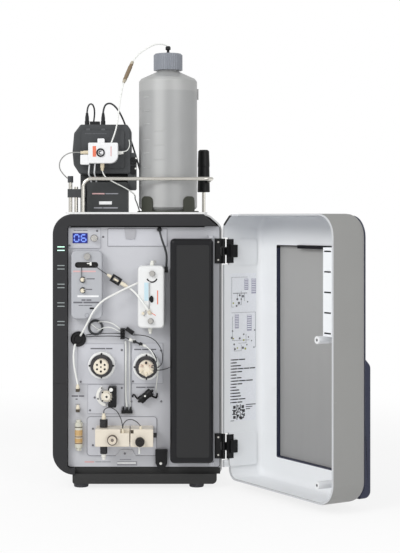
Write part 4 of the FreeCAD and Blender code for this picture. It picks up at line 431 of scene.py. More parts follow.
# %% Fittings in several colours
DARK_MIDDLE = CREAM.inside(X=(-10, 11), Y=(-232, -222), Z=(297, 308))
repaint(CREAM, DARK_MIDDLE, rgb(34, 34, 36))
repaint(CREAM, CREAM.inside(X=(-20, 20), Y=(-232, -222), Z=(292, 312)) * (1 - DARK_MIDDLE),
        rgb(238, 238, 232))
repaint_box(CREAM, rgb(70, 62, 50), X=(-130, -118), Z=(158, 164.9))
repaint_box(CREAM, rgb(70, 62, 50), X=(-130, -118), Z=(200, 207.1))
repaint_box(CREAM, rgb(236, 236, 228), X=(22, 40), Z=(462, 480))
repaint_box(CREAM, rgb(234, 234, 226), X=(20, 34), Z=(320, 334))
repaint_box(CREAM, rgb(230, 229, 222), X=(-80, -58), Z=(None, 75))
repaint_box(CREAM, rgb(226, 204, 188), X=(2, 36), Y=(None, -271), Z=(256, 275))
TRAP_CREAM = moulded("trap fittings", rgb(220, 208, 182), 0.36, 0.00003)
repaint_box(TRAP_CREAM, rgb(226, 228, 230), X=(-110, -85), Z=(None, 677.9))
repaint_box(TRAP_CREAM, rgb(232, 232, 228), X=(-43, None))

# %% Clear filter with amber discs
FILTER = Finish("clear filter body", {"Transmission Weight": 0.25, "IOR": 1.4})
FILTER.colour = FILTER.blend(FILTER.noise(60), rgb(226, 226, 210), rgb(238, 236, 224))
FILTER_BANDS = (
    ((109.5, 121), (222, 186, 130)), ((95, 104), (222, 184, 126)),
    ((106, 108.5), (150, 112, 70)), ((92.5, 94.5), (140, 106, 70)), ((126, 128), (96, 90, 78)),
)
for (low, high), colour in FILTER_BANDS:
    repaint(FILTER, FILTER.inside(Z=(low, high)), rgb(*colour))
FILTER.set("Roughness", FILTER.noise(300) * 0.1 + 0.16)

# %% Knobs
DISPLAY_KNOB = brushed("bright knob", rgb(214, 212, 208), 0.16, (1, 8, 1))
WASTE_KNOB = brushed("turned waste knob", rgb(112, 102, 94), 0.34, (1, 1, 1), 500)
WASTE_CENTRE = (-50.4, 107.7)
waste_middle = ring_mask(WASTE_KNOB, *WASTE_CENTRE, 0, 8.4)
repaint(WASTE_KNOB, waste_middle, rgb(224, 214, 198))
repaint(WASTE_KNOB, ring_mask(WASTE_KNOB, *WASTE_CENTRE, 0, 3.4), rgb(120, 110, 102))
WASTE_KNOB.set("Metallic", 1 - waste_middle)
PRIMING_KNOB = moulded("priming knob", rgb(44, 41, 39), 0.42, 0.00012, 600)
ROTOR = moulded("wash rotor", rgb(232, 226, 212), 0.36, 0.00003)

# %% [markdown]
# ## Finishes of the door
# The door is one thick moulding, pale inside and gray outside, with a dark blue outer panel.
# Inside and outside can't be split by place alone, because the wall is so thin, so the mask asks
# whether a face looks away from the middle of the door or towards it.

# %% Door finishes
DOOR_MIDDLE = (0.300, -0.352, 0.300)


def outward(finish, middle, edge=0.0):
    """1 where the surface looks away from a middle point, 0 where it looks towards it."""
    normal = finish.node("ShaderNodeTexCoord", output="Normal")
    offset = finish.node("ShaderNodeVectorMath", {"operation": "SUBTRACT"},
                         {0: finish.place, 1: middle})
    return finish.node("ShaderNodeVectorMath", {"operation": "DOT_PRODUCT"},
                       {0: normal, 1: offset}, output="Value") > edge


DOOR = moulded("pale door moulding", rgb(240, 242, 244), 0.46, 0.00005, 1100, 0.015)
# Painted shade: the inside of the door turns darker towards its top.
repaint(DOOR, DOOR.fade(DOOR.axis("Z"), 0.490, 0.566), rgb(206, 209, 214))
repaint(DOOR, outward(DOOR, DOOR_MIDDLE), rgb(149, 149, 147), 0.03)
DOOR_DARK = moulded("dark blue door panel", rgb(50, 54, 74), 0.34, 0.00005, 1200)
JAMB = moulded("dark blue window jamb", rgb(50, 54, 74), 0.34, 0.00005, 1200)
repaint_box(JAMB, rgb(26, 26, 30), Z=(499.8, 510))
POST = moulded("pale door post", rgb(236, 237, 239), 0.46)
DOOR_SEAL = moulded("pale door seal", rgb(206, 208, 211), 0.6)
CORNER_SEAL = {"X": (175, 194.5), "Y": (-250, -195), "Z": (546.5, 569)}
repaint_box(DOOR_SEAL, rgb(30, 30, 32), **CORNER_SEAL)
GUIDE = moulded("white light guide", rgb(240, 243, 246), 0.3, 0.00003, drift=0.01,
                fixed={"Subsurface Weight": 0.2, "Subsurface Radius": (0.004, 0.004, 0.004)})

# %% [markdown]
# ## Finishes on top of the cabinet
# The bottle is milky polymer: light goes in and is scattered, so it looks pale gray, with a soft
# highlight painted down its front, and the filling shows as a darker tone up to a level line. The
# cap, the holder and the housings are moulded in different grays.

# %% Bottle, liquid and cap
LIQUID_LEVEL = 835.0
BOTTLE = Finish("milky bottle polymer", {
    "Roughness": 0.3, "Subsurface Weight": 0.35, "Subsurface Radius": (0.02, 0.02, 0.02),
    "Subsurface Scale": 0.6, "IOR": 1.45, "Coat Roughness": 0.25})
cloud = BOTTLE.noise(18, 3)
filled = 1 - BOTTLE.fade(BOTTLE.axis("Z"), (LIQUID_LEVEL - 2) / 1000, (LIQUID_LEVEL + 2) / 1000)
empty_tone = BOTTLE.blend(cloud, rgb(176, 177, 176), rgb(184, 185, 184))
filled_tone = BOTTLE.blend(cloud, rgb(165, 166, 166), rgb(172, 173, 173))
body_tone = BOTTLE.blend(filled, empty_tone, filled_tone)
across = BOTTLE.axis("X")
# Painted highlight: a lighter band down the front of the bottle, left of its middle.
painted_highlight = BOTTLE.fade(across, 0.026, 0.042) * (1 - BOTTLE.fade(across, 0.048, 0.066))
BOTTLE.set("Base Color", BOTTLE.blend(painted_highlight * 0.5, body_tone, rgb(206, 207, 206)))
BOTTLE.set("Coat Weight", cloud * 0.2 + 0.2)
BOTTLE.bump(BOTTLE.noise(45, 3), 0.0004, 0.25)

LIQUID = Finish("eluent", {"Transmission Weight": 0.9, "IOR": 1.33})
LIQUID.set("Base Color", LIQUID.blend(LIQUID.noise(8), rgb(226, 232, 236), rgb(234, 238, 240)))
LIQUID.set("Roughness", LIQUID.noise(30) * 0.05 + 0.02)

CAP = moulded("blue gray cap", rgb(140, 144, 152), 0.42, 0.00006)
HOLDER = moulded("olive holder", rgb(66, 68, 60), 0.5, 0.00012, 800)
HOUSING = moulded("generator housing", rgb(68, 70, 72), 0.46, 0.00008)
DEGASSER = moulded("degasser front", rgb(60, 62, 63), 0.44, 0.00008)
CANISTER = moulded("canister", rgb(20, 21, 21), 0.4, 0.00006)
TRAP = moulded("trap block", rgb(234, 235, 236), 0.34, 0.00003, drift=0.02)
ring = ring_mask(TRAP, -79.5, 700.7, 6, 9.1) * TRAP.inside(Y=(None, -160.2))
repaint(TRAP, ring, rgb(40, 40, 42))
SLEEVE = moulded("tan sleeve", rgb(128, 110, 88), 0.6, 0.0002, 500, 0.12)
sleeve_ends = SLEEVE.inside(Z=(None, 860)) + SLEEVE.inside(Z=(894, None))
repaint(SLEEVE, sleeve_ends, rgb(176, 168, 150))
PLUGS = moulded("cable plugs", rgb(36, 37, 39), 0.45)
OVEN = brushed("oven liner", rgb(176, 178, 182), 0.35, (1, 1, 20))

# %% Give every node its finish
NODE_FINISHES = {
    "cabinet_casing": CASING, "top_cover": WHITE_COVER, "rear_panel": REAR,
    "front_bezel": CHARCOAL, "base_plinth": BASE, "feet": RUBBER, "fascia_panel": SILVER,
    "fascia_plates": PLATES, "detector_module": DETECTOR, "suppressor_body": SUPPRESSOR,
    "steel_fittings": KNURLED, "valve_collars": COLLAR, "valve_stators": STATOR,
    "peek_fittings": CREAM, "wash_pump_housing": BLACK, "wash_rotor": ROTOR,
    "pump_heads": HEAD, "panel_capillaries": LINE_DARK, "inline_filter": FILTER,
    "tube_guides": BLACK, "mixer": MIXER, "hinge_fixed_leaves": BLACK,
    "door_hinge_leaves": BLACK, "inner_units": UNIT, "bottle_rail": RAIL,
    "bottle_holder": HOLDER, "eluent_bottle": BOTTLE, "eluent_liquid": LIQUID,
    "degasser_box": DEGASSER, "generator_housing": HOUSING, "cable_plugs": PLUGS,
    "trap_block": TRAP, "trap_fittings": TRAP_CREAM, "post_canister": CANISTER,
    "line_sleeve": SLEEVE, "door_shell": DOOR, "door_front_panel": DOOR_DARK,
    "door_jamb": JAMB, "door_light_guide": GUIDE, "door_seal": DOOR_SEAL,
    "column_cover": COVER, "column_oven": OVEN, "columns": STEEL,
    "display_knob": DISPLAY_KNOB, "waste_knob": WASTE_KNOB, "priming_knob": PRIMING_KNOB,
    "bottle_cap": CAP, "cap_fitting": BLACK, "power_rocker": BLACK, "fan_rotor": BLACK,
}


def dress(node, finish):
    """Puts a finish in the object's material slots and leaves its mesh alone."""
    if not node.material_slots:
        node.data.materials.append(None)
    for slot in node.material_slots:
        slot.link = "OBJECT"
        slot.material = finish.material


for name, finish in NODE_FINISHES.items():
    dress(nodes[name], finish)
undressed = set(nodes) - set(NODE_FINISHES) - set(LINES)
print("nodes dressed:", len(NODE_FINISHES), "left:", sorted(undressed))

# %% [markdown]
# ## Shapes for thin and small pieces
# Captions, lights and strips are plates a few tenths of a millimetre thick, drawn from the front.
# All sizes below are in millimetres, because that is how such parts are drawn, and one function
# turns them into metres when the mesh is made.

# %% Drawing helpers
FASCIA = -214.0
PLATE = -215.5
MARK = 0.2


class Drawing:
    """A mesh in the making, in millimetres."""

    def __init__(self):
        self.mesh = bmesh.new()

    def prism(self, outline, front, back):
        """An outline of (x, z) points, seen from the front, as thick as front to back."""
        near = [self.mesh.verts.new((x, front, z)) for x, z in outline]
        far = [self.mesh.verts.new((x, back, z)) for x, z in outline]
        self.mesh.faces.new(near)
        self.mesh.faces.new(list(reversed(far)))
        count = len(outline)
        for i in range(count):
            j = (i + 1) % count
            self.mesh.faces.new((near[j], near[i], far[i], far[j]))

    def bar(self, x0, x1, z0, z1, seat, thickness=MARK):
        self.prism([(x0, z0), (x1, z0), (x1, z1), (x0, z1)], seat - thickness, seat)

    def strip(self, outer, inner, front, back):
        """A closed band between two outlines with as many points each."""
        rows = [[self.mesh.verts.new((x, y, z)) for x, z in line]
                for line, y in ((outer, front), (inner, front), (inner, back), (outer, back))]
        count = len(outer)
        for a, b in zip(rows, rows[1:] + rows[:1]):
            for i in range(count):
                j = (i + 1) % count
                self.mesh.faces.new((a[i], a[j], b[j], b[i]))

    def rows(self, loops):
        """Closed loops of (x, y, z) points, each joined to the next."""
        made = [[self.mesh.verts.new(point) for point in loop] for loop in loops]
        for a, b in zip(made, made[1:]):
            self.join(a, b)
        return made

    def join(self, a, b):
        for i in range(len(a)):
            j = (i + 1) % len(a)
            self.mesh.faces.new((a[i], a[j], b[j], b[i]))

    def fill_between(self, outer, inner):
        """A flat face between a loop and the opening inside it."""
        corners = outer + inner
        for face in tessellate_polygon([[v.co for v in outer], [v.co for v in inner]]):
            self.mesh.faces.new([corners[i] for i in face])

    def arc(self, x, z, inner, outer, start, end, front, back, steps=24):
        """Part of a flat ring, from one angle to another, in degrees."""
        angles = [math.radians(start + (end - start) * i / steps) for i in range(steps + 1)]
        out = [(x + outer * math.cos(a), z + outer * math.sin(a)) for a in angles]
        back_in = [(x + inner * math.cos(a), z + inner * math.sin(a)) for a in reversed(angles)]
        self.prism(out + back_in, front, back)

    def disc(self, x, z, radius, front, back, steps=28):
        self.prism([(x + radius * math.cos(a), z + radius * math.sin(a))
                    for a in turns(steps)], front, back)

    def turned(self, profile, base, direction, steps=28):
        """(radius, height) points turned round a line from base."""
        lay = Vector(direction).to_track_quat("Z", "Y").to_matrix().to_4x4()
        place = Matrix.Translation(base) @ lay
        rings = []
        for radius, height in profile:
            rings.append([self.mesh.verts.new(place @ Vector(
                (radius * math.cos(a), radius * math.sin(a), height))) for a in turns(steps)])
        for a, b in zip(rings, rings[1:]):
            for i in range(steps):
                j = (i + 1) % steps
                self.mesh.faces.new((a[i], a[j], b[j], b[i]))
        self.mesh.faces.new(list(reversed(rings[0])))
        self.mesh.faces.new(rings[-1])

    def place(self, matrix):
        bmesh.ops.transform(self.mesh, matrix=matrix, verts=self.mesh.verts)

    def finished(self, name):
        """The mesh in metres, closed, with its faces outwards."""
        bmesh.ops.remove_doubles(self.mesh, verts=self.mesh.verts, dist=1e-5)
        bmesh.ops.recalc_face_normals(self.mesh, faces=self.mesh.faces)
        bmesh.ops.scale(self.mesh, vec=(0.001, 0.001, 0.001), verts=self.mesh.verts)
        mesh = bpy.data.meshes.new(name)
        self.mesh.to_mesh(mesh)
        self.mesh.free()
        return mesh


def turns(steps):
    return [2 * math.pi * i / steps for i in range(steps)]


def rounded(x0, x1, z0, z1, radius, steps=6):
    """A rectangle with round corners as a list of points."""
    points = []
    for cx, cz, first in ((x1 - radius, z1 - radius, 0), (x0 + radius, z1 - radius, 90),
                          (x0 + radius, z0 + radius, 180), (x1 - radius, z0 + radius, 270)):
        for i in range(steps + 1):
            a = math.radians(first + 90 * i / steps)
            points.append((cx + radius * math.cos(a), cz + radius * math.sin(a)))
    return points


def add_piece(name, mesh, finish, body="cabinet", smooth=False):
    """A finished mesh as a piece that rides on a body."""
    mesh.materials.clear()
    mesh.materials.append(finish.material)
    for face in mesh.polygons:
        face.use_smooth = smooth
    piece = bpy.data.objects.new(name, mesh)
    scene.collection.objects.link(piece)
    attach(piece, body)
    return piece


def add_drawn(name, drawing, finish, body="cabinet"):
    """A drawing, closed and scaled to metres, as a piece that rides on a body."""
    return add_piece(name, drawing.finished(name), finish, body)


def tube_along(name, points, radius, finish, body="cabinet"):
    """A stiff line of small bore that follows a few points, turned to a mesh."""
    route = [[c / 1000 for c in point] for point in points]
    data = round_line(name, route, radius / 1000, resolution=10, bevel=3)
    holder = bpy.data.objects.new(name, data)
    mesh = bpy.data.meshes.new_from_object(holder)
    bpy.data.objects.remove(holder)
    return add_piece(name, mesh, finish, body, smooth=True)


print("drawing kit ready")

# %% [markdown]
# ## Plain inks and lamps
# Printed bars stand for captions. They are thin ink, so each has its own slightly uneven tone,
# and the lit display and status lamps give off their own colour.

# %% Inks
def ink(name, colour, roughness=0.6):
    finish = Finish(name)
    patch = finish.noise(300, 3)
    finish.set("Base Color", finish.blend(patch, toned(colour, 0.92), toned(colour, 1.1)))
    finish.set("Roughness", patch * 0.1 + roughness)
    return finish


def lamp(name, colour, glow):
    finish = Finish(name, {"Base Color": colour, "Roughness": 0.3, "Emission Strength": glow})
    soft = finish.noise(200, 2)
    finish.set("Emission Color", finish.blend(soft, toned(colour, 0.92), colour))
    return finish


INK_GRAY = ink("gray ink", rgb(104, 104, 110))
INK_PALE = ink("pale gray ink", rgb(150, 151, 158))
INK_DARK = ink("dark ink", rgb(44, 44, 48))
INK_WHITE = ink("white ink", rgb(236, 237, 238))
INK_ORANGE = ink("orange ink", rgb(226, 120, 92))
INK_ROSE = ink("pale rose ink", rgb(214, 172, 172))
INK_BLUE = ink("pale blue print", rgb(196, 220, 230))
DIGITS = lamp("display digits", rgb(116, 144, 232), 0.45)
LAMP_ON = lamp("lit status lamp", rgb(196, 245, 222), 0.9)
LAMP_OFF = ink("unlit status lamp", rgb(150, 158, 158), 0.3)

# %% [markdown]
# ## Repeats by Geometry Nodes
# Screws, lamps, scale marks and ribs are one small shape set many times. A node tree takes the
# places as points, sets the shape on each, makes the copies real and gives them their finish.
# Sizes are named inputs, so one tree serves several sizes.

# %% Recipe
class Recipe:
    """A Geometry Nodes tree with named inputs, built one node at a time."""

    def __init__(self, name, **inputs):
        self.tree = bpy.data.node_groups.new(name, "GeometryNodeTree")
        sockets = self.tree.interface
        sockets.new_socket("Geometry", in_out="INPUT", socket_type="NodeSocketGeometry")
        for key, kind in inputs.items():
            sockets.new_socket(key, in_out="INPUT", socket_type="NodeSocket" + kind)
        sockets.new_socket("Geometry", in_out="OUTPUT", socket_type="NodeSocketGeometry")
        self.given = self.tree.nodes.new("NodeGroupInput").outputs

    def node(self, kind, settings=None, inputs=None):
        node = self.tree.nodes.new(kind)
        for key, value in (settings or {}).items():
            setattr(node, key, value)
        for key, value in (inputs or {}).items():
            if isinstance(value, bpy.types.NodeSocket):
                self.tree.links.new(value, node.inputs[key])
            else:
                node.inputs[key].default_value = value
        return node.outputs

    def end(self, instances):
        """Makes the copies real, gives them the finish and ends the tree."""
        real = self.node("GeometryNodeRealizeInstances", inputs={"Geometry": instances})
        done = self.node("GeometryNodeSetMaterial",
                         inputs={"Geometry": real[0], "Material": self.given["Finish"]})
        output = self.tree.nodes.new("NodeGroupOutput")
        self.tree.links.new(done[0], output.inputs[0])
        return self


def grow(recipe, name, base, values):
    """Runs a recipe on a mesh of points and gives back a plain mesh."""
    holder = bpy.data.objects.new(name, base)
    scene.collection.objects.link(holder)
    modifier = holder.modifiers.new("recipe", "NODES")
    modifier.node_group = recipe.tree
    for socket in recipe.tree.interface.items_tree:
        if socket.in_out == "INPUT" and socket.name in values:
            modifier[socket.identifier] = values[socket.name]
    graph = bpy.context.evaluated_depsgraph_get()
    mesh = bpy.data.meshes.new_from_object(holder.evaluated_get(graph), depsgraph=graph)
    bpy.data.objects.remove(holder)
    return mesh


def points_mesh(name, places):
    """A mesh with a vertex at each place, given in millimetres."""
    mesh = bpy.data.meshes.new(name)
    mesh.from_pydata([[c / 1000 for c in place] for place in places], [], [])
    return mesh


def face_front(recipe):
    """A turn that lays a shape built along Z so that it points out of the front."""
    return recipe.node("FunctionNodeEulerToRotation",
                       inputs={"Euler": (math.radians(90), 0, 0)})[0]


# %% Recipes for screws
def screw_heads():
    recipe = Recipe("screw heads", Radius="Float", Height="Float", Finish="Material")
    top = recipe.node("ShaderNodeMath", {"operation": "MULTIPLY"},
                      {0: recipe.given["Radius"], 1: 0.78})
    head = recipe.node("GeometryNodeMeshCone", {"fill_type": "NGON"}, {
        "Vertices": 20, "Radius Top": top[0], "Radius Bottom": recipe.given["Radius"],
        "Depth": recipe.given["Height"]})
    screws = recipe.node("GeometryNodeInstanceOnPoints", inputs={
        "Points": recipe.given["Geometry"], "Instance": head[0], "Rotation": face_front(recipe)})
    return recipe.end(screws[0])


def screw_slots():
    recipe = Recipe("screw slots", Length="Float", Width="Float", Finish="Material")
    size = recipe.node("ShaderNodeCombineXYZ", inputs={
        "X": recipe.given["Length"], "Y": recipe.given["Width"], "Z": 0.0004})
    slot = recipe.node("GeometryNodeMeshCube", inputs={"Size": size[0]})
    crossed = recipe.node("GeometryNodeTransform", inputs={
        "Geometry": slot[0], "Rotation": (0, 0, math.radians(90))})
    both = recipe.tree.nodes.new("GeometryNodeJoinGeometry")
    recipe.tree.links.new(slot[0], both.inputs[0])
    recipe.tree.links.new(crossed[0], both.inputs[0])
    slots = recipe.node("GeometryNodeInstanceOnPoints", inputs={
        "Points": recipe.given["Geometry"], "Instance": both.outputs[0],
        "Rotation": face_front(recipe)})
    return recipe.end(slots[0])


HEADS = screw_heads()
SLOTS = screw_slots()
SCREW_INK = ink("screw slot shade", rgb(34, 34, 36), 0.7)
SCREW_STEEL = brushed("small screw steel", rgb(120, 120, 124), 0.34, (1, 1, 1), 400)


def add_screws(name, places, radius, height, steel=SCREW_STEEL, body="cabinet"):
    """Pan-head screws on (x, seat, z) places, and the crossed slots in their heads."""
    heads = grow(HEADS, name, points_mesh(name, places),
                 {"Radius": radius / 1000, "Height": 2 * height / 1000, "Finish": steel.material})
    add_piece(name, heads, steel, body)
    tops = [(x, y - height, z) for x, y, z in places]
    slots = grow(SLOTS, name + "_slots", points_mesh(name, tops), {
        "Length": 1.15 * radius / 1000, "Width": 0.28 * radius / 1000,
        "Finish": SCREW_INK.material})
    return add_piece(name + "_slots", slots, SCREW_INK, body)


PANEL_SCREWS = [
    (-84.2, PLATE, 534.9), (-71.7, FASCIA, 522.4), (-141.8, PLATE, 504.4),
    (-32.8, PLATE, 286.3), (49.0, PLATE, 285.5), (-118.5, PLATE, 220.0), (-9.4, PLATE, 220.8),
    (-32.8, PLATE, 207.1), (-12.8, FASCIA, 179.1), (49.4, FASCIA, 179.1),
    (-89.3, PLATE, 187.3), (-99.1, PLATE, 160.6), (-92.9, PLATE, 122.2), (-93.1, PLATE, 87.8),
]
add_screws("panel_screws", PANEL_SCREWS, 2.3, 0.9)
print("screws:", len(PANEL_SCREWS))

# %% [markdown]
# ## Status lamps and the display
# Five pairs of lamps stand on the bezel and meet the slots of the door's light guide. The
# display is a deep blue window with two seven-segment figures, drawn as bars with pointed ends.

# %% Status lamps
LAMP_LEVELS = [level + offset for level in (498.2, 459.5, 420.8, 382.1, 343.4)
               for offset in (3.6, -3.6)]


def lamp_bars(name, levels, finish):
    drawing = Drawing()
    for z in levels:
        drawing.bar(-166, -151, z - 0.9, z + 0.9, -230.0, 0.5)
    return add_drawn(name, drawing, finish)


lamp_bars("status_lamps_lit", LAMP_LEVELS[:2], LAMP_ON)
lamp_bars("status_lamps", LAMP_LEVELS[2:], LAMP_OFF)

# %% Display figures
SEGMENTS = {"0": "abcdef", "6": "acdefg"}


def segment_lines(x, z, width, height):
    """The ends of the seven bars of a figure, by their usual letters."""
    left, right, low, high, middle = x, x + width, z, z + height, z + height / 2
    return {
        "a": ((left, high), (right, high)), "b": ((right, high), (right, middle)),
        "c": ((right, middle), (right, low)), "d": ((left, low), (right, low)),
        "e": ((left, middle), (left, low)), "f": ((left, high), (left, middle)),
        "g": ((left, middle), (right, middle)),
    }


def add_figure(drawing, figure, x, z, width, height, stroke, seat):
    for letter in SEGMENTS[figure]:
        start, end = (Vector(p) for p in segment_lines(x, z, width, height)[letter])
        along = (end - start).normalized()
        side = Vector((-along.y, along.x)) * stroke / 2
        a, b = start + along * 0.5, end - along * 0.5
        tip = along * stroke / 2
        drawing.prism([tuple(p) for p in (a, a + tip + side, b - tip + side, b,
                                          b - tip - side, a + tip - side)],
                      seat - 0.25, seat)


digits = Drawing()
add_figure(digits, "0", -131.6, 512.8, 9.4, 14.0, 2.8, -217.5)
add_figure(digits, "6", -117.0, 512.8, 9.4, 14.0, 2.8, -217.5)
add_drawn("display_figures", digits, DIGITS)
print("display set")

# %% [markdown]
# ## Captions
# Printed words are left as rows of plain bars, one bar for each word, at the length, height and
# tone that the print has on the real instrument.

# %% Caption bars
def caption_bars(name, rows, finish, body="cabinet", place=None):
    """Rows of (x0, x1, z, height, words, seat)."""
    drawing = Drawing()
    for x0, x1, z, height, words, seat in rows:
        gap = height * 0.55
        share = [1 + 0.45 * math.sin(2.1 * i + x0) for i in range(words)]
        scale = (x1 - x0 - gap * (words - 1)) / sum(share)
        x = x0
        for part in share:
            drawing.bar(x, x + part * scale, z - height / 2, z + height / 2, seat)
            x += part * scale + gap
    if place is not None:
        drawing.place(place)
    return add_drawn(name, drawing, finish, body)


DETECTOR_FACE = -238.0
caption_bars("fascia_captions", [
    (-98.0, -52.3, 289.4, 2.6, 2, PLATE), (-6.9, 38.9, 287.6, 2.6, 2, PLATE),
    (-2.8, 35.4, 208.5, 2.6, 2, FASCIA), (-137.4, -111.3, 190.2, 2.8, 2, FASCIA),
    (-129.4, -125.0, 183.7, 2.6, 1, FASCIA), (-130.1, -120.7, 173.1, 0.9, 1, FASCIA),
    (-133.2, -104.2, 536.0, 1.3, 3, PLATE),
], INK_GRAY)
caption_bars("detector_captions", [
    (-105.0, -88.2, 435.8, 2.2, 1, DETECTOR_FACE), (-106.4, -93.4, 414.0, 2.2, 1, DETECTOR_FACE),
    (-115.5, -95.0, 391.9, 3.0, 2, DETECTOR_FACE), (-132.3, -79.1, 386.9, 3.4, 2, DETECTOR_FACE),
    (-121.5, -93.6, 380.9, 1.6, 2, DETECTOR_FACE),
], INK_GRAY)
caption_bars("detector_caption_rose", [
    (-132.7, -86.0, 451.3, 3.0, 2, DETECTOR_FACE)], INK_ROSE)
caption_bars("detector_strip", [
    (-123.8, -79.9, 399.8, 3.8, 1, DETECTOR_FACE)], INK_WHITE)
caption_bars("base_caption", [
    (-110.3, -90.4, 52.9, 3.0, 1, FASCIA)], INK_ROSE)
caption_bars("base_caption_gray", [
    (-88.0, -56.0, 52.9, 2.0, 2, FASCIA), (-37.2, -13.2, 57.6, 2.0, 1, FASCIA),
], INK_PALE)
DEGASSER_FACE = -140.0
caption_bars("degasser_captions", [
    (-98.4, -72.0, 613.8, 2.6, 1, DEGASSER_FACE)], INK_ROSE)
caption_bars("degasser_captions_pale", [
    (-70.0, -42.8, 613.8, 2.0, 1, DEGASSER_FACE), (-94.6, -43.9, 583.4, 2.6, 2, DEGASSER_FACE),
], INK_PALE)
caption_bars("degasser_captions_white", [
    (-83.5, -56.3, 594.1, 6.6, 1, DEGASSER_FACE)], INK_WHITE)
print("captions set")

# %% [markdown]
# ## Outlines printed on the panel
# Each plate on the panel shows as a thin line round its edge. The service panel's line is the
# darkest, because it is a gap, and the pump plate's has round corners.

# %% Outline strips
def outline(drawing, edges, radius, width, seat):
    x0, x1, z0, z1 = edges
    outer = rounded(x0, x1, z0, z1, radius)
    inner = rounded(x0 + width, x1 - width, z0 + width, z1 - width, max(radius - width, 0.1))
    drawing.strip(outer, inner, seat - MARK, seat)


def add_outlines(name, plates, finish):
    drawing = Drawing()
    for plate in plates:
        outline(drawing, *plate)
    return add_drawn(name, drawing, finish)


add_outlines("plate_outlines", [
    ((-124.7, -27.3, 215.5, 299.6), 1.5, 0.6, PLATE), ((-12.4, 53.3, 216.2, 301.2), 1.5, 0.6, PLATE),
    ((-104.1, -27.3, 153.6, 214.7), 1.5, 0.6, PLATE), ((-144.3, -76.7, 498.4, 541.0), 1.5, 0.5, PLATE),
], INK_PALE)
add_outlines("pump_plate_outline", [((-105.6, 40.5, 65.5, 147.9), 7, 1.0, PLATE)], INK_GRAY)
add_outlines("recess_shade", [((-145.6, 172.4, 41.6, 545.4), 6, 1.2, FASCIA)], BLACK)
shade = Drawing()
shade.bar(-140.0, 140.0, 542.2, 544.6, FASCIA)
add_drawn("recess_top_shade", shade, BLACK)
add_outlines("service_outline", [((-62.2, 62.1, 502.8, 539.5), 1, 0.6, PLATE)], INK_DARK)
print("outlines set")

# %% [markdown]
# ## Detector front
# Two fittings stand in dark lock rings, a clip sits in the slot, and a fine dark line leads from
# the slot to the first fitting and out to the line union.

# %% Detector pieces
DETECTOR_PORTS = ((-112.6, 434.0), (-112.6, 412.4))
rings = Drawing()
for x, z in DETECTOR_PORTS:
    rings.arc(x, z, 4.6, 6.2, 40, 325, DETECTOR_FACE - 2.4, DETECTOR_FACE)
    rings.bar(x + 1.8, x + 6.0, z - 0.7, z + 0.7, DETECTOR_FACE - 9.0, 0.3)
add_drawn("detector_lock_rings", rings, BLACK)

clip = Drawing()
clip.prism(rounded(-98.6, -94.6, 463.6, 470.4, 0.8), DETECTOR_FACE - 1.6, DETECTOR_FACE + 4)
clip.prism(rounded(-104.2, -97.6, 466.6, 468.6, 0.8), DETECTOR_FACE - 0.8, DETECTOR_FACE + 4)
add_drawn("detector_clip", clip, WHITE_PLASTIC)

ring_low = Drawing()
ring_low.arc(-104.1, 360.2, 3.6, 4.6, 0, 359, DETECTOR_FACE - 0.6, DETECTOR_FACE)
add_drawn("detector_low_ring", ring_low, INK_PALE)

tube_along("detector_inlet_line", [(-115.2, -236, 461), (-115.3, -240.5, 455), (-115.2, -241, 446),
                                   (-114.6, -242, 438), (-113.0, -245, 435)], 0.7, LINE_DARK)
tube_along("detector_union_line", [(-88, -235, 464), (-84, -241, 460), (-76, -241.5, 454.5),
                                   (-69, -236, 449), (-63, -228, 444.8)], 0.8, LINE_DARK)

# %% [markdown]
# ## Suppressor front
# A moulded strip with a pale blue print runs down the face. Thin dark lines stand for its flow
# path, a dark window shows the level, and an arc under the upper screw is its lock mark.

# %% Suppressor pieces
SUPPRESSOR_FACE = -246.0
RIB_FACE = -247.5
blue = Drawing()
blue.bar(14.6, 23.2, 391.0, 428.6, RIB_FACE)
add_drawn("suppressor_blue_print", blue, INK_BLUE)

marks = Drawing()
marks.arc(30.5, 440.0, 9.2, 12.0, 200, 340, SUPPRESSOR_FACE - 0.6, SUPPRESSOR_FACE)
marks.bar(24.2, 25.2, 381.5, 429.0, RIB_FACE, 0.4)
marks.bar(24.2, 25.2, 371.3, 381.0, SUPPRESSOR_FACE, 0.4)
marks.bar(13.6, 14.8, 359.0, 369.0, SUPPRESSOR_FACE, 0.5)
marks.bar(17.4, 18.4, 362.0, 372.0, SUPPRESSOR_FACE, 0.5)
marks.prism([(20.6, 373.0), (23.0, 369.4), (26.0, 371.0), (24.4, 375.0)], SUPPRESSOR_FACE - 0.6,
            SUPPRESSOR_FACE)
oval = [(29.4 + 4.2 * math.cos(a), 394.6 + 6.8 * math.sin(a)) for a in turns(28)]
marks.prism(oval, SUPPRESSOR_FACE - 2.2, SUPPRESSOR_FACE)
add_drawn("suppressor_marks", marks, BLACK)

orange = Drawing()
orange.bar(41.0, 43.2, 383.4, 412.2, SUPPRESSOR_FACE)
orange.prism([(24.4, 369.2), (25.6, 367.2), (38.2, 359.4), (38.0, 361.6)], SUPPRESSOR_FACE - MARK,
             SUPPRESSOR_FACE)
add_drawn("suppressor_orange_print", orange, INK_ORANGE)
tube_along("suppressor_hook", [(33.5, -226, 462.6), (33.2, -227, 469.5), (36.0, -228, 474.0),
                               (38.6, -228, 471.0), (37.6, -228, 467.6)], 0.9, STEEL)

# %% [markdown]
# ## Valves
# Both valve bodies carry four short ears over their white collars. The injection valve's upper
# plug is dark, and the ports of the other valve are empty, so they show as dark holes.

# %% Valve pieces
def ears(drawing, x, z):
    for step in range(4):
        a = math.radians(90 * step)
        out, side = Vector((math.cos(a), math.sin(a))), Vector((-math.sin(a), math.cos(a)))
        at = Vector((x, z))
        drawing.prism([tuple(at + out * r + side * w) for r, w in
                       ((22.6, -1.8), (26.4, -1.2), (26.4, 1.2), (22.6, 1.8))], -249.5, -244.4)


valve_ears = Drawing()
for x, z in VALVES:
    ears(valve_ears, x, z)
add_drawn("valve_ears", valve_ears, BLACK)

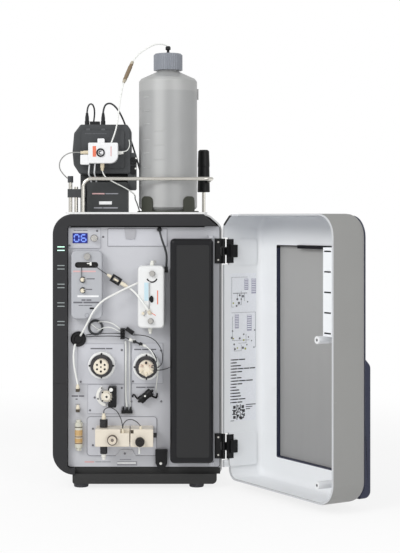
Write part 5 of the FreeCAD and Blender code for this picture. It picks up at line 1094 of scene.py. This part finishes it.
STATOR_FACE = -273.5
plugs = Drawing()
for i in range(6):
    a = math.radians(30 + 60 * i)
    plugs.disc(VALVES[0][0] + 9 * math.cos(a), VALVES[0][1] + 9 * math.sin(a), 1.9,
               STATOR_FACE + 0.2, STATOR_FACE + 1.2)
plugs.disc(*VALVES[0], 1.7, STATOR_FACE - 0.2, STATOR_FACE + 1)
plugs.disc(-73.8, 269.0, 2.3, STATOR_FACE - 1.2, STATOR_FACE + 1)
plugs.disc(18.9, 266.6, 2.4, STATOR_FACE - 13.4, STATOR_FACE + 1)
add_drawn("valve_plugs", plugs, BLACK)

# %% [markdown]
# ## Wash pump and mixer
# The wash pump's rollers turn on dark pins, beside a small pale roller on the housing. The mixer
# hangs in two wire hooks, and a pale dot on it shows its filling plug.

# %% Wash pump and mixer pieces
WASH_ROTOR = (-63.5, 191.7)
pins = Drawing()
for i in range(4):
    a = math.radians(45 + 90 * i)
    pins.disc(WASH_ROTOR[0] + 12.3 * math.cos(a), WASH_ROTOR[1] + 12.3 * math.sin(a), 1.7,
              -236.1, -235.3)
pins.disc(*WASH_ROTOR, 2.2, -240.4, -239.6)
add_drawn("wash_rotor_pins", pins, BLACK, "wash_rotor")

flange = Drawing()
flange.arc(*WASH_ROTOR, 16.6, 22.5, 118, 262, -219.5, -215.5)
flange.disc(-54.2, 206.6, 3.9, -244.0, -241.4)
add_drawn("wash_pump_flange", flange, WHITE_PLASTIC)
flange_screws = [(-74.4, -219.5, 207.4), (-82.2, -219.5, 185.2)]
add_screws("wash_flange_screws", flange_screws, 1.9, 0.8)

tube_along("mixer_hook_left", [(5.0, -226, 187.0), (0.5, -224, 184.6), (-3.4, -222, 189.4),
                               (-6.9, -220, 195.0), (-10.4, -217, 191.6), (-10.0, -213.6, 188.6)],
           1.7, BLACK)
tube_along("mixer_hook_right", [(28.0, -226, 192.5), (33.0, -224, 190.4), (38.8, -221, 186.6),
                                (41.2, -217, 191.2), (41.0, -213.6, 195.4)],
           1.9, BLACK)
dot = Drawing()
dot.disc(15.9, 192.6, 1.8, -235.4, -232)
add_drawn("mixer_plug", dot, WHITE_PLASTIC)

# %% [markdown]
# ## Small parts round the pump heads
# A dark insert marks the inlet of the second head, a clear nozzle hangs under it, and a pressed
# bracket with a white label strip stands below the heads.

# %% Pump pieces
HEAD_FACE = -270.0
insert = Drawing()
insert.bar(-13.2, -7.0, 120.7, 127.7, HEAD_FACE, 0.4)
add_drawn("pump_insert", insert, ink("brown insert", rgb(64, 54, 40)))
tube_along("pump_nozzle", [(4.6, -256, 94), (4.6, -256, 84), (4.4, -256, 77)], 2.1, LINE_WHITE)
bracket = Drawing()
bracket.prism([(-35.1, 79.0), (-11.2, 79.0), (-3.0, 65.0), (-46.4, 65.0)], -218.0, FASCIA)
add_drawn("pump_bracket", bracket, SILVER)
add_screws("pump_bracket_screw", [(-26.4, -218.0, 70.6)], 2.4, 0.9)
caption_bars("label_shade", [(-42.6, -0.7, 49.6, 9.0, 1, FASCIA)], INK_PALE)
caption_bars("label_strip", [(-42.4, -3.2, 50.5, 3.8, 1, FASCIA - MARK)], INK_WHITE)
add_screws("corner_clip_screw", [(48.6, -230.0, 52.2)], 3.0, 1.2, WHITE_PLASTIC)

# %% [markdown]
# ## Drop lines on the panel
# Two soft lines come down from the guide block to the black prongs, a third leaves the block for
# the injection valve's far side, and two pale ones join the coil to the block.

# %% Drop lines
LINE_CLEAR = tubing("clear pale tubing", rgb(232, 234, 230), 0.3, 0.04)
tube_along("drop_line_wide", [(-25.0, -222, 306), (-24.4, -219, 298), (-24.2, -216.6, 282),
                              (-24.6, -216.6, 230), (-24.8, -216.6, 192), (-22.6, -217, 172),
                              (-20.6, -218, 160)], 2.0, LINE_CLEAR)
tube_along("drop_line_thin", [(-17.4, -219, 308), (-16.8, -217, 292), (-16.4, -216.4, 260),
                              (-16.0, -216.4, 200), (-15.4, -216.8, 172), (-14.6, -218, 160)], 0.8,
           LINE_CLEAR)
tube_along("drop_line_dark", [(-12.0, -220, 304), (-12.5, -216, 292), (-12.6, -215.6, 260),
                              (-12.6, -215, 200), (-12.8, -216, 170), (-13.4, -217, 158)], 0.5,
           INK_PALE)
tube_along("coil_line_upper", [(-82, -218, 345), (-70, -222, 347), (-52, -224, 343),
                               (-40, -223, 334), (-32, -222, 328)], 1.1, LINE_CLEAR)
tube_along("coil_line_lower", [(-84, -218, 326), (-72, -222, 334), (-55, -224, 335),
                               (-40, -223, 327), (-31, -222, 322)], 1.0, LINE_CLEAR)
tube_along("coil_strand", [(-97, -217, 341), (-92, -219.5, 338), (-84, -219.5, 331),
                           (-77, -217, 328)], 1.0, LINE_CLEAR)
tube_along("valve_side_line", [(16.8, -236, 296.5), (22, -240, 293.5), (30, -246, 286),
                               (37, -252, 273), (41.6, -254, 262), (43.4, -252, 248),
                               (41.4, -242, 230), (39.2, -228, 212), (38.6, -216, 198)], 1.3,
           LINE_CLEAR)
print("drop lines set")

# %% [markdown]
# ## Inside the open door
# These pieces are drawn on the shut door, where its walls lie square, and then swung open about
# the hinge like the door itself. The window is backed by a gray film, raised pads carry the hinge
# leaves, and the light guide's slots face the status lamps when the door is shut.

# %% Door placing
HINGE = (179.0, -219.0)
DOOR_ANGLE = 121.0
HINGE_WALL = 172.0
DOOR_FRONT = -316.0
pivot = Matrix.Translation((*HINGE, 0))
SWING = pivot @ Matrix.Rotation(math.radians(DOOR_ANGLE), 4, "Z") @ pivot.inverted()
# The card's x runs along the hinge wall, away from the hinge, and its front faces the free wall.
ON_WALL = SWING @ Matrix(((0, 1, 0, HINGE_WALL), (-1, 0, 0, HINGE[1]), (0, 0, 1, 0), (0, 0, 0, 1)))


def door_piece(name, drawing, finish, place=SWING):
    drawing.place(place)
    return add_drawn(name, drawing, finish, "door")


# %% [markdown]
# ## Door mouldings
# The shell, its lip and the dark outer panel are drawn again here, finer than the solids they
# stand for: the shell reaches a little lower, its posts have their bores, and the panel wraps
# round the shell's front edges and carries a taller apron. Each is a row of outlines, joined.

# %% Door outline
DOOR_SIDE = 176.0
DOOR_TOP = 570.0
DOOR_FOOT = 17.0
DOOR_CORNER = 44.0
HINGE_CORNER = 24.0
CHAMFER = (28.0, 24.0)
DOOR_WALL = 4.0
EDGE_ROUND = 20.0
INNER_ROUND = 12.0
RIM = -232.5
DEEP_RIM = -216.5
POCKET_RIM = -228.0
DEEP_ABOVE = 44.0
CLEAR_OF_BEZEL = 145.0
POCKETS = ((58.5, 114.5), (465.0, 521.0))
INNER_FACE = DOOR_FRONT + 8.5
POSTS = ((-131.0, 330.0), (-131.0, 54.0))
POST_REACH = 6.0
POST_RADIUS = 7.5
POST_BORE = 3.0
POST_BORE_DEPTH = 12.0
WINDOW = (-118.0, 113.0, 66.0, 506.0)
LATCH = (-176.8, -174.0, 206.0, 215.0)
HINGE_SIDE_FROM = 170.0
SLOT_LEVELS = [344.0 + 38.7 * i for i in range(5)]


def corner_arc(before, corner, after, radius, steps=8):
    """The points of a round corner between two straight runs."""
    here = Vector(corner)
    back = (Vector(before) - here).normalized()
    ahead = (Vector(after) - here).normalized()
    half = back.angle(ahead) / 2
    centre = here + (back + ahead).normalized() * radius / math.sin(half)
    start = here + back * radius / math.tan(half) - centre
    end = here + ahead * radius / math.tan(half) - centre
    first = math.atan2(start.y, start.x)
    sweep = (math.atan2(end.y, end.x) - first + math.pi) % (2 * math.pi) - math.pi
    return [(centre.x + radius * math.cos(first + sweep * i / steps),
             centre.y + radius * math.sin(first + sweep * i / steps)) for i in range(steps + 1)]


def round_corners(corners):
    """A list of arcs, one for each (x, z, radius) corner."""
    arcs = []
    for i, (x, z, radius) in enumerate(corners):
        before = corners[i - 1][:2]
        after = corners[(i + 1) % len(corners)][:2]
        arcs.append(corner_arc(before, (x, z), after, radius))
    return arcs


def door_outline(inset):
    """The door seen from the front, with points where its rim steps beside the hinges."""
    flat = math.atan2(CHAMFER[1], CHAMFER[0])
    side = DOOR_SIDE - inset
    slant_x = DOOR_SIDE - CHAMFER[0] - inset * math.tan(flat / 2)
    slant_z = DOOR_TOP - CHAMFER[1] - inset * math.tan((math.pi / 2 - flat) / 2)
    arcs = round_corners([
        (-side, DOOR_FOOT + inset, DOOR_CORNER - inset),
        (-side, DOOR_TOP - inset, DOOR_CORNER - inset),
        (slant_x, DOOR_TOP - inset, HINGE_CORNER - inset),
        (side, slant_z, HINGE_CORNER - inset),
        (side, DOOR_FOOT + inset, HINGE_CORNER - inset)])
    levels = sorted([z for pair in POCKETS for z in pair] + [DEEP_ABOVE], reverse=True)
    steps = [(side, z + shift) for z in levels for shift in (0.01, -0.01)]
    return arcs[0] + arcs[1] + arcs[2] + arcs[3] + steps + arcs[4]


def rim_levels():
    """How far back the rim reaches at each point of the outline, and where the hinges sit."""
    levels = []
    for x, z in door_outline(0):
        pocket = x > HINGE_SIDE_FROM and any(low < z < high for low, high in POCKETS)
        deep = x > CLEAR_OF_BEZEL and z > DEEP_ABOVE
        levels.append(POCKET_RIM if pocket else DEEP_RIM if deep else RIM)
    return levels


def level_row(outline, y):
    return [(x, y, z) for x, z in outline]


def rim_row(inset, rise=0.0):
    return [(x, y + (0.3 if rise and y == POCKET_RIM else rise), z)
            for (x, z), y in zip(door_outline(inset), rim_levels())]


def edge_rows(inset, face, radius, outwards, first=0, steps=6):
    """Rows that turn a wall into a face through a quarter round."""
    rows = []
    for i in range(steps + 1):
        a = math.radians(first + (90 - first) * i / steps)
        y = face + outwards * radius * (1 - math.sin(a))
        rows.append(level_row(door_outline(inset + radius * (1 - math.cos(a))), y))
    return rows


# %% Door shell, lip and panel
def door_shell():
    shell = Drawing()
    outer = shell.rows([rim_row(0)] + edge_rows(0, DOOR_FRONT, EDGE_ROUND, 1))
    inner = shell.rows([rim_row(DOOR_WALL)] + edge_rows(DOOR_WALL, INNER_FACE, INNER_ROUND, 1))
    window = rounded(*WINDOW, 3)
    opening = shell.rows([level_row(window, DOOR_FRONT), level_row(window, INNER_FACE)])
    shell.join(outer[0], inner[0])
    shell.fill_between(outer[-1], opening[0])
    shell.fill_between(inner[-1], opening[1])
    shell.bar(*LATCH, RIM - 1, 6)
    return shell


def door_posts():
    posts = Drawing()
    reach = RIM + POST_REACH - INNER_FACE
    post = [(POST_RADIUS, -1), (POST_RADIUS, reach - 0.6), (POST_RADIUS - 0.6, reach),
            (POST_BORE + 0.2, reach), (POST_BORE, reach - 0.4),
            (POST_BORE, reach - POST_BORE_DEPTH)]
    for x, z in POSTS:
        posts.turned(post, (x, INNER_FACE, z), (0, 1, 0), 32)
    return posts


def door_lip():
    lip = Drawing()
    rows = lip.rows([rim_row(0.5), rim_row(3.5), rim_row(3.5, 2.0), rim_row(0.5, 2.0)])
    lip.join(rows[-1], rows[0])
    return lip


SKIN = 2.5
# Degrees of the edge round that the panel leaves bare at the back.
WRAP = 42


def wrapped(radius, face):
    """Rows that follow the shell's round front edge at a radius, as far back as the wrap goes."""
    return edge_rows(EDGE_ROUND - radius, face, radius, 1, first=WRAP, steps=8)


def door_panel():
    panel = Drawing()
    outer = panel.rows(wrapped(EDGE_ROUND + SKIN, DOOR_FRONT - SKIN))
    inner = panel.rows(wrapped(EDGE_ROUND + 0.05, DOOR_FRONT - 0.05))
    panel.join(outer[0], inner[0])
    panel.mesh.faces.new(outer[-1])
    panel.mesh.faces.new(inner[-1])
    return panel


APRON_FACE = -338.5
APRON_FOOT = 23.0
APRON_TOP = 299.0
APRON_SLOPE = 21.0
APRON_SIDE = 157.0
APRON_ROUND = 14.0
APRON_EDGE = 5.0


def apron_row(x, inset):
    """The apron's side view at one place across the door, rooted deeper at its foot."""
    root = DOOR_FRONT - 1
    face = APRON_FACE + inset
    foot = APRON_FOOT + inset
    top = APRON_TOP - inset
    low = corner_arc((root, foot), (face, foot), (face, top), APRON_ROUND - inset)
    slope = (DOOR_FRONT - SKIN + inset, top)
    high = corner_arc((face, foot), (face, top - APRON_SLOPE), slope, APRON_ROUND - inset)
    heel = [(root, 45), (root + 5, 40), (root + 5, foot)]
    return [(x, y, z) for y, z in heel + low + high + [slope, (root, top)]]


def door_apron():
    apron = Drawing()
    rows = []
    for side in (-1, 1):
        turn = [math.radians(15 * i) for i in range(7)]
        rows.append([apron_row(side * (APRON_SIDE - APRON_EDGE * (1 - math.sin(a))),
                               APRON_EDGE * (1 - math.cos(a))) for a in turn])
    across = apron.rows(list(reversed(rows[0])) + rows[1])
    apron.mesh.faces.new(across[0])
    apron.mesh.faces.new(across[-1])
    return apron


for name, drawing, finish, slot, stands_for in (
        ("door_shell_moulding", door_shell(), DOOR, "door_light", "door_shell"),
        ("door_posts", door_posts(), POST, "door_light", "door_shell"),
        ("door_lip", door_lip(), DOOR_SEAL, "seal_black", "door_seal"),
        ("door_outer_panel", door_panel(), DOOR_DARK, "door_dark", "door_front_panel"),
        ("door_apron", door_apron(), DOOR_DARK, "door_dark", "door_front_panel")):
    moulding = door_piece(name, drawing, finish)
    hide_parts(stands_for)
    for face in moulding.data.polygons:
        face.use_smooth = True
    moulding.data.set_sharp_from_angle(angle=math.radians(38))
slots = Drawing()
for z in SLOT_LEVELS:
    slots.prism(rounded(-147.0, -129.0, z, z + 2.5, 1.2), DOOR_FRONT - SKIN - 0.15,
                DOOR_FRONT - SKIN + 0.1)
door_piece("door_status_slots", slots, INK_GRAY)

# %% Film, pads and shades
def film_finish():
    finish = Finish("gray window film", {"Metallic": 0.0})
    height = finish.fade(finish.axis("Z"), 0.05, 0.50)
    streak = finish.noise(60, 3, (1, 1, 0.05))
    tone = finish.blend(height, rgb(150, 150, 150), rgb(166, 166, 165))
    finish.set("Base Color", finish.blend(streak * 0.25, tone, rgb(176, 176, 176)))
    finish.set("Roughness", streak * 0.15 + 0.38)
    return finish


film = Drawing()
film.prism(rounded(-115.4, 110.4, 68.6, 503.4, 2), DOOR_FRONT + 0.1, DOOR_FRONT + 0.7)
door_piece("window_film", film, film_finish())

pads = Drawing()
for low, high in ((464.0, 517.0), (44.0, 114.0)):
    pads.prism(rounded(9.0, 78.0, low, high, 6), -2.4, 0.4)
door_piece("hinge_wall_pads", pads, DOOR, ON_WALL)

# Painted shade: a black disc a little way down each post's bore darkens the bore.
bore_shades = Drawing()
for x, z in POSTS:
    bore_shades.disc(x, z, POST_BORE - 0.02, RIM + POST_REACH - 3.5, RIM + POST_REACH - 1.4)
door_piece("post_bore_shades", bore_shades, BLACK)

guide_slots = Drawing()
for z in SLOT_LEVELS:
    guide_slots.prism(rounded(-163.5, -145.5, z - 1.3, z + 1.3, 0.6), -236.3, -233.6)
door_piece("guide_slot_shades", guide_slots, BLACK)

# %% [markdown]
# ## Label card
# The card on the hinge wall shows how the lines run, with a numbered list and a square of dots
# below. It is kept as plain shapes: boxes, circles and lines for the diagram, and bars for words.

# %% Card
CARD = (12.6, 77.4, 137.0, 446.0)
CARD_SEAT = -0.3
card = Drawing()
card.prism(rounded(*CARD, 2), CARD_SEAT, 0.4)
door_piece("label_card", card, ink("card face", rgb(238, 240, 245), 0.5), ON_WALL)

TEXT_TOP = 265.7
TEXT_PITCH = 6.35
TEXT_START = 16.8
TEXT_ENDS = (50.8, 29.7, 40.1, 77.0, 43.1, 28.9, 41.6, 70.2, 43.8, 28.2, 35.7, 38.6, 40.1, 51.6,
             43.8)
card_text = Drawing()
for row, end in enumerate(TEXT_ENDS):
    z = TEXT_TOP - row * TEXT_PITCH
    card_text.bar(12.8 if row > 8 else 13.6, 15.8, z - 1.1, z + 1.1, CARD_SEAT)
    words = max(1, round((end - TEXT_START) / 16))
    step = (min(end, 76.6) - TEXT_START) / words
    for word in range(words):
        x = TEXT_START + word * step
        card_text.bar(x, x + step - 1.4, z - 1.15, z + 1.15, CARD_SEAT)
for row, end in enumerate((76.4, 68.0, 62.0)):
    card_text.bar(51.4, end, 169.6 - row * 4.4, 171.2 - row * 4.4, CARD_SEAT)
card_text.bar(13.0, 22.0, 138.1, 139.2, CARD_SEAT)
door_piece("card_text", card_text, INK_DARK, ON_WALL)

# %% Card dots
def dot_grid():
    """Little squares on a grid of points, each made real and given its finish."""
    recipe = Recipe("dot grid", Size="Float", Turn="Rotation", Finish="Material")
    size = recipe.node("ShaderNodeCombineXYZ", inputs={
        "X": recipe.given["Size"], "Y": recipe.given["Size"], "Z": 0.0004})
    cube = recipe.node("GeometryNodeMeshCube", inputs={"Size": size[0]})
    dots = recipe.node("GeometryNodeInstanceOnPoints", inputs={
        "Points": recipe.given["Geometry"], "Instance": cube[0],
        "Rotation": recipe.given["Turn"]})
    return recipe.end(dots[0])


DOT_COUNT = 15
DOT_PITCH = 2.1
DOT_CORNER = (17.4, 140.4)
DOT_SEED = 7


def dotted(column, row):
    """A fixed, meaningless spread of dots with a solid block in three corners."""
    last = DOT_COUNT - 1
    for cx, cy in ((2, 2), (2, last - 2), (last - 2, last - 2)):
        reach = max(abs(column - cx), abs(row - cy))
        if reach <= 3:
            return reach in (0, 1, 3)
    return math.sin(DOT_SEED + 12.99 * column + 78.23 * row) * 43758.5 % 1 < 0.5


dot_places = [ON_WALL @ Vector((DOT_CORNER[0] + DOT_PITCH * (i + 0.5), CARD_SEAT,
                                DOT_CORNER[1] + DOT_PITCH * (j + 0.5)))
              for i in range(DOT_COUNT) for j in range(DOT_COUNT) if dotted(i, j)]
wall_turn = (ON_WALL @ Matrix.Rotation(math.radians(90), 4, "X")).to_euler()
dots = grow(dot_grid(), "card_dots", points_mesh("card_dots", dot_places),
            {"Size": 0.96 * DOT_PITCH / 1000, "Turn": wall_turn, "Finish": INK_DARK.material})
add_piece("card_dots", dots, INK_DARK, "door")
print("card dots:", len(dot_places))

# %% Card diagram
def thin_box(drawing, x0, x1, z0, z1, width=0.55):
    for ax, bx, az, bz in ((x0, x1, z1 - width, z1), (x0, x1, z0, z0 + width),
                           (x0, x0 + width, z0, z1), (x1 - width, x1, z0, z1)):
        drawing.bar(ax, bx, az, bz, CARD_SEAT)


def line_path(drawing, points, width):
    """Square lines that run from point to point, each along x or along z."""
    for (ax, az), (bx, bz) in zip(points, points[1:]):
        drawing.bar(min(ax, bx) - width / 2, max(ax, bx) + width / 2,
                    min(az, bz) - width / 2, max(az, bz) + width / 2, CARD_SEAT)


flow = Drawing()
for width, points in (
        (0.55, [(56.0, 438.0), (16.0, 438.0), (16.0, 376.0), (22.0, 376.0)]),
        (0.55, [(15.6, 364.0), (76.0, 364.0), (76.0, 290.0), (70.0, 290.0)]),
        (1.2, [(20.0, 404.5), (54.0, 404.5)]),
        (0.55, [(30.0, 404.5), (30.0, 392.0)]),
        (0.55, [(40.0, 409.0), (40.0, 380.0), (28.0, 380.0)]),
        (0.55, [(48.0, 404.5), (48.0, 388.0)]),
        (0.55, [(18.0, 356.0), (18.0, 306.0), (60.0, 306.0)]),
        (0.55, [(33.0, 300.0), (52.0, 300.0), (52.0, 318.0)]),
        (0.55, [(22.0, 292.0), (22.0, 284.0), (40.0, 284.0), (40.0, 296.0)])):
    line_path(flow, points, width)
door_piece("card_flow_lines", flow, INK_GRAY, ON_WALL)

symbols = Drawing()
for x0, x1, low, high, rows in ((48.0, 57.5, 412.0, 434.0, 6), (66.0, 77.0, 404.0, 434.0, 8),
                                (24.0, 33.4, 332.0, 360.0, 8), (54.6, 66.0, 326.0, 358.0, 7)):
    pitch = (high - low) / rows
    for i in range(rows):
        symbols.bar(x0 + 0.6, x1 - 0.6, low + pitch * i, low + pitch * (i + 0.45), CARD_SEAT)
    thin_box(symbols, x0, x1, low - 0.8, high + 0.4)
door_piece("card_columns", symbols, ink("violet ink", rgb(150, 146, 172)), ON_WALL)

spots = Drawing()
for x, z, r in ((30, 392, 2.4), (36, 400, 2.2), (44, 398, 2.8), (40, 392, 1.8), (34, 384, 2.8),
                (28, 378, 2.0), (56, 386, 1.6), (18, 326, 1.8), (16, 312, 2.4), (22, 298, 2.0),
                (36, 310, 2.2), (46, 318, 1.8), (58, 312, 1.6), (66, 304, 1.4), (74, 326, 1.6),
                (24, 288, 2.2), (44, 290, 2.6), (54, 296, 1.6), (72, 290, 1.4)):
    spots.disc(x, z, r, CARD_SEAT - MARK - 0.1, CARD_SEAT, 14)
door_piece("card_spots", spots, INK_GRAY, ON_WALL)
greens = Drawing()
for x, z, r in ((20, 384, 1.8), (46, 306, 2.0), (20, 310, 1.6), (50, 288, 2.2), (30, 290, 1.6)):
    greens.disc(x, z, r, CARD_SEAT - MARK - 0.25, CARD_SEAT, 14)
door_piece("card_green_spots", greens, ink("olive ink", rgb(168, 172, 96)), ON_WALL)
print("door dressed")

# %% [markdown]
# ## Hinge screws
# Each cabinet leaf is held by two pale screws that show beside the column cover.

# %% Hinge screw pieces
HINGE_SCREWS = [(168.4, -217.0, z) for z in (68.0, 105.0, 474.4, 511.6)]
add_screws("hinge_screws", HINGE_SCREWS, 2.5, 1.0, STEEL)

# %% [markdown]
# ## Marks on the bottle
# The scale is moulded on the bottle as short raised lines. They are one curved rib, set at each
# level, with fainter rings between them nearer the front.

# %% Bottle scale
BOTTLE_AXIS = (64.0, -97.0)
BOTTLE_RADIUS = 63.0


def level_ribs():
    recipe = Recipe("level ribs", Radius="Float", Start="Float", Sweep="Float", Wide="Float",
                    Finish="Material")
    arc = recipe.node("GeometryNodeCurveArc", inputs={
        "Resolution": 12, "Radius": recipe.given["Radius"],
        "Start Angle": recipe.given["Start"], "Sweep Angle": recipe.given["Sweep"]})
    bar = recipe.node("GeometryNodeCurvePrimitiveCircle", inputs={
        "Resolution": 8, "Radius": recipe.given["Wide"]})
    rib = recipe.node("GeometryNodeCurveToMesh", inputs={
        "Curve": arc[0], "Profile Curve": bar[0], "Fill Caps": True})
    ribs = recipe.node("GeometryNodeInstanceOnPoints", inputs={
        "Points": recipe.given["Geometry"], "Instance": rib[0]})
    return recipe.end(ribs[0])


RIBS = level_ribs()
SCALE = moulded("bottle scale", rgb(197, 198, 198), 0.3, 0.00003, drift=0.01)


def add_ribs(name, levels, start, sweep, thickness, finish):
    places = points_mesh(name, [(*BOTTLE_AXIS, z) for z in levels])
    mesh = grow(RIBS, name, places, {
        "Radius": (BOTTLE_RADIUS + 0.1) / 1000, "Start": math.radians(start),
        "Sweep": math.radians(sweep), "Wide": thickness / 1000, "Finish": finish.material})
    return add_piece(name, mesh, finish, smooth=True)


add_ribs("bottle_scale_long", (820.9, 790.9, 763.1, 728.9, 701.1, 670.0), 214.6, 17.0, 0.75, SCALE)
RING = moulded("bottle ring", rgb(180, 181, 181), 0.3, 0.00003, drift=0.01)
add_ribs("bottle_scale_rings", (747.0, 717.0, 686.0), 239.5, 28.0, 0.45, RING)
print("bottle scale set")

# %% [markdown]
# ## Small parts on the units above
# The trap block has printed bars in orange, a dark ring with a gap and a looped line. Two plug
# seats stand on top of the generator's front, and a coil of dark line hangs beside it.

# %% Unit pieces
TRAP_FACE = -160.0
trap_print = Drawing()
trap_print.bar(-96.4, -89.0, 692.0, 714.6, TRAP_FACE)
add_drawn("trap_print", trap_print, INK_ORANGE)
trap_strip = Drawing()
trap_strip.bar(-58.4, -56.2, 693.0, 714.0, TRAP_FACE)
add_drawn("trap_strip", trap_strip, INK_ROSE)
trap_mark = Drawing()
trap_mark.arc(-79.5, 700.7, 6.0, 9.2, 30, 330, TRAP_FACE - 2.0, TRAP_FACE + 0.4)
trap_mark.arc(-79.5, 700.7, 2.4, 4.0, 60, 300, TRAP_FACE - 1.2, TRAP_FACE + 0.4)
add_drawn("trap_ring_mark", trap_mark, BLACK)

GENERATOR_FACE = -133.0
seats = Drawing()
for x in (-107.4, -75.2):
    seats.prism(rounded(x - 4.4, x + 4.4, 749.0, 754.0, 2.2), GENERATOR_FACE + 0.6, -129)
add_drawn("generator_plug_seats", seats, UNIT)
caption_bars("generator_caption", [(-114.9, -67.7, 742.6, 1.8, 2, GENERATOR_FACE)], UNIT)
tube_along("trap_loop", [(-36, -146, 704), (-30, -146, 703), (-23, -144, 706), (-18.6, -140, 714),
                         (-18.2, -134, 724), (-20.4, -128, 731)], 1.0, LINE_CLEAR)
coil = Drawing()
coil.arc(-11.0, 684.0, 5.2, 8.2, 0, 359.9, -129.4, -126.0)
coil.arc(-11.0, 684.0, 1.2, 3.4, 0, 359.9, -128.4, -126.0)
coil.prism(rounded(-16.0, -6.0, 655.0, 674.0, 2), -128.6, -126.0)
add_drawn("side_unit_coil", coil, BLACK)
beads = Drawing()
for x, z in ((-4.6, 690.0), (-5.8, 668.0)):
    beads.disc(x, z, 1.7, -130.4, -126.0)
add_drawn("side_unit_beads", beads, WHITE_PLASTIC)
print("unit pieces set")

# %% [markdown]
# ## Floor, backdrop and light
# A plain pale floor and a white world give the clean studio look. The world lights the object
# evenly, and two large soft lamps from the front left give the modules their shading.

# %% Floor
def floor_finish():
    finish = Finish("pale floor", {"Roughness": 0.9, "Specular IOR Level": 0.0})
    finish.set("Base Color", finish.blend(finish.noise(3), (0.93, 0.93, 0.93, 1),
                                          (0.95, 0.95, 0.95, 1)))
    across = finish.axis("X")
    along = finish.axis("Y")
    radius = (across * across + along * along) ** 0.5
    far = finish.fade(radius, 0.55, 1.6)
    path = finish.node("ShaderNodeLightPath")
    seen = path.socket.node.outputs
    shown = 1 - (1 - Value(finish, seen["Is Camera Ray"])) * (
        1 - Value(finish, seen["Is Glossy Ray"])) * (
        1 - Value(finish, seen["Is Transmission Ray"]))
    white = finish.node("ShaderNodeEmission", inputs={"Color": (1, 1, 1, 1), "Strength": 1.0})
    mixed = finish.node("ShaderNodeMixShader", inputs={
        0: shown * (far * 0.18 + 0.82), 1: Value(finish, finish.shader.outputs[0]), 2: white})
    output = finish.tree.nodes["Material Output"]
    finish.tree.links.new(mixed.socket, output.inputs["Surface"])
    return finish


floor_mesh = bpy.data.meshes.new("floor")
floor_mesh.from_pydata([(-30, -30, 0), (30, -30, 0), (30, 30, 0), (-30, 30, 0)], [],
                       [(0, 1, 2, 3)])
floor_mesh.materials.append(floor_finish().material)
floor = bpy.data.objects.new("floor", floor_mesh)
scene.collection.objects.link(floor)

# %% World
WORLD_LEVEL = 0.62
world = bpy.data.worlds.new("studio")
world.use_nodes = True
scene.world = world
tree = world.node_tree
backdrop = tree.nodes["Background"]
backdrop.inputs["Color"].default_value = (1, 1, 1, 1)
backdrop.inputs["Strength"].default_value = WORLD_LEVEL
bright = tree.nodes.new("ShaderNodeBackground")
bright.inputs["Color"].default_value = (1, 1, 1, 1)
bright.inputs["Strength"].default_value = 1.0
path = tree.nodes.new("ShaderNodeLightPath")
either = tree.nodes.new("ShaderNodeMath")
either.operation = "MAXIMUM"
tree.links.new(path.outputs["Is Camera Ray"], either.inputs[0])
tree.links.new(path.outputs["Is Transmission Ray"], either.inputs[1])
pick = tree.nodes.new("ShaderNodeMixShader")
tree.links.new(either.outputs[0], pick.inputs[0])
tree.links.new(backdrop.outputs[0], pick.inputs[1])
tree.links.new(bright.outputs[0], pick.inputs[2])
tree.links.new(pick.outputs[0], tree.nodes["World Output"].inputs["Surface"])

# %% Soft lamps
def soft_lamp(name, place, target, size, power):
    data = bpy.data.lights.new(name, "AREA")
    data.shape = "SQUARE"
    data.size = size
    data.energy = power
    light = bpy.data.objects.new(name, data)
    light.location = place
    aim = Vector(target) - Vector(place)
    light.rotation_euler = aim.to_track_quat("-Z", "Y").to_euler()
    scene.collection.objects.link(light)
    return light


soft_lamp("key", (-1.9, -2.6, 2.2), (0.0, -0.2, 0.35), 1.4, 52)
soft_lamp("fill", (1.8, -2.8, 1.4), (0.1, -0.2, 0.35), 1.8, 18)
print("stage and light set")
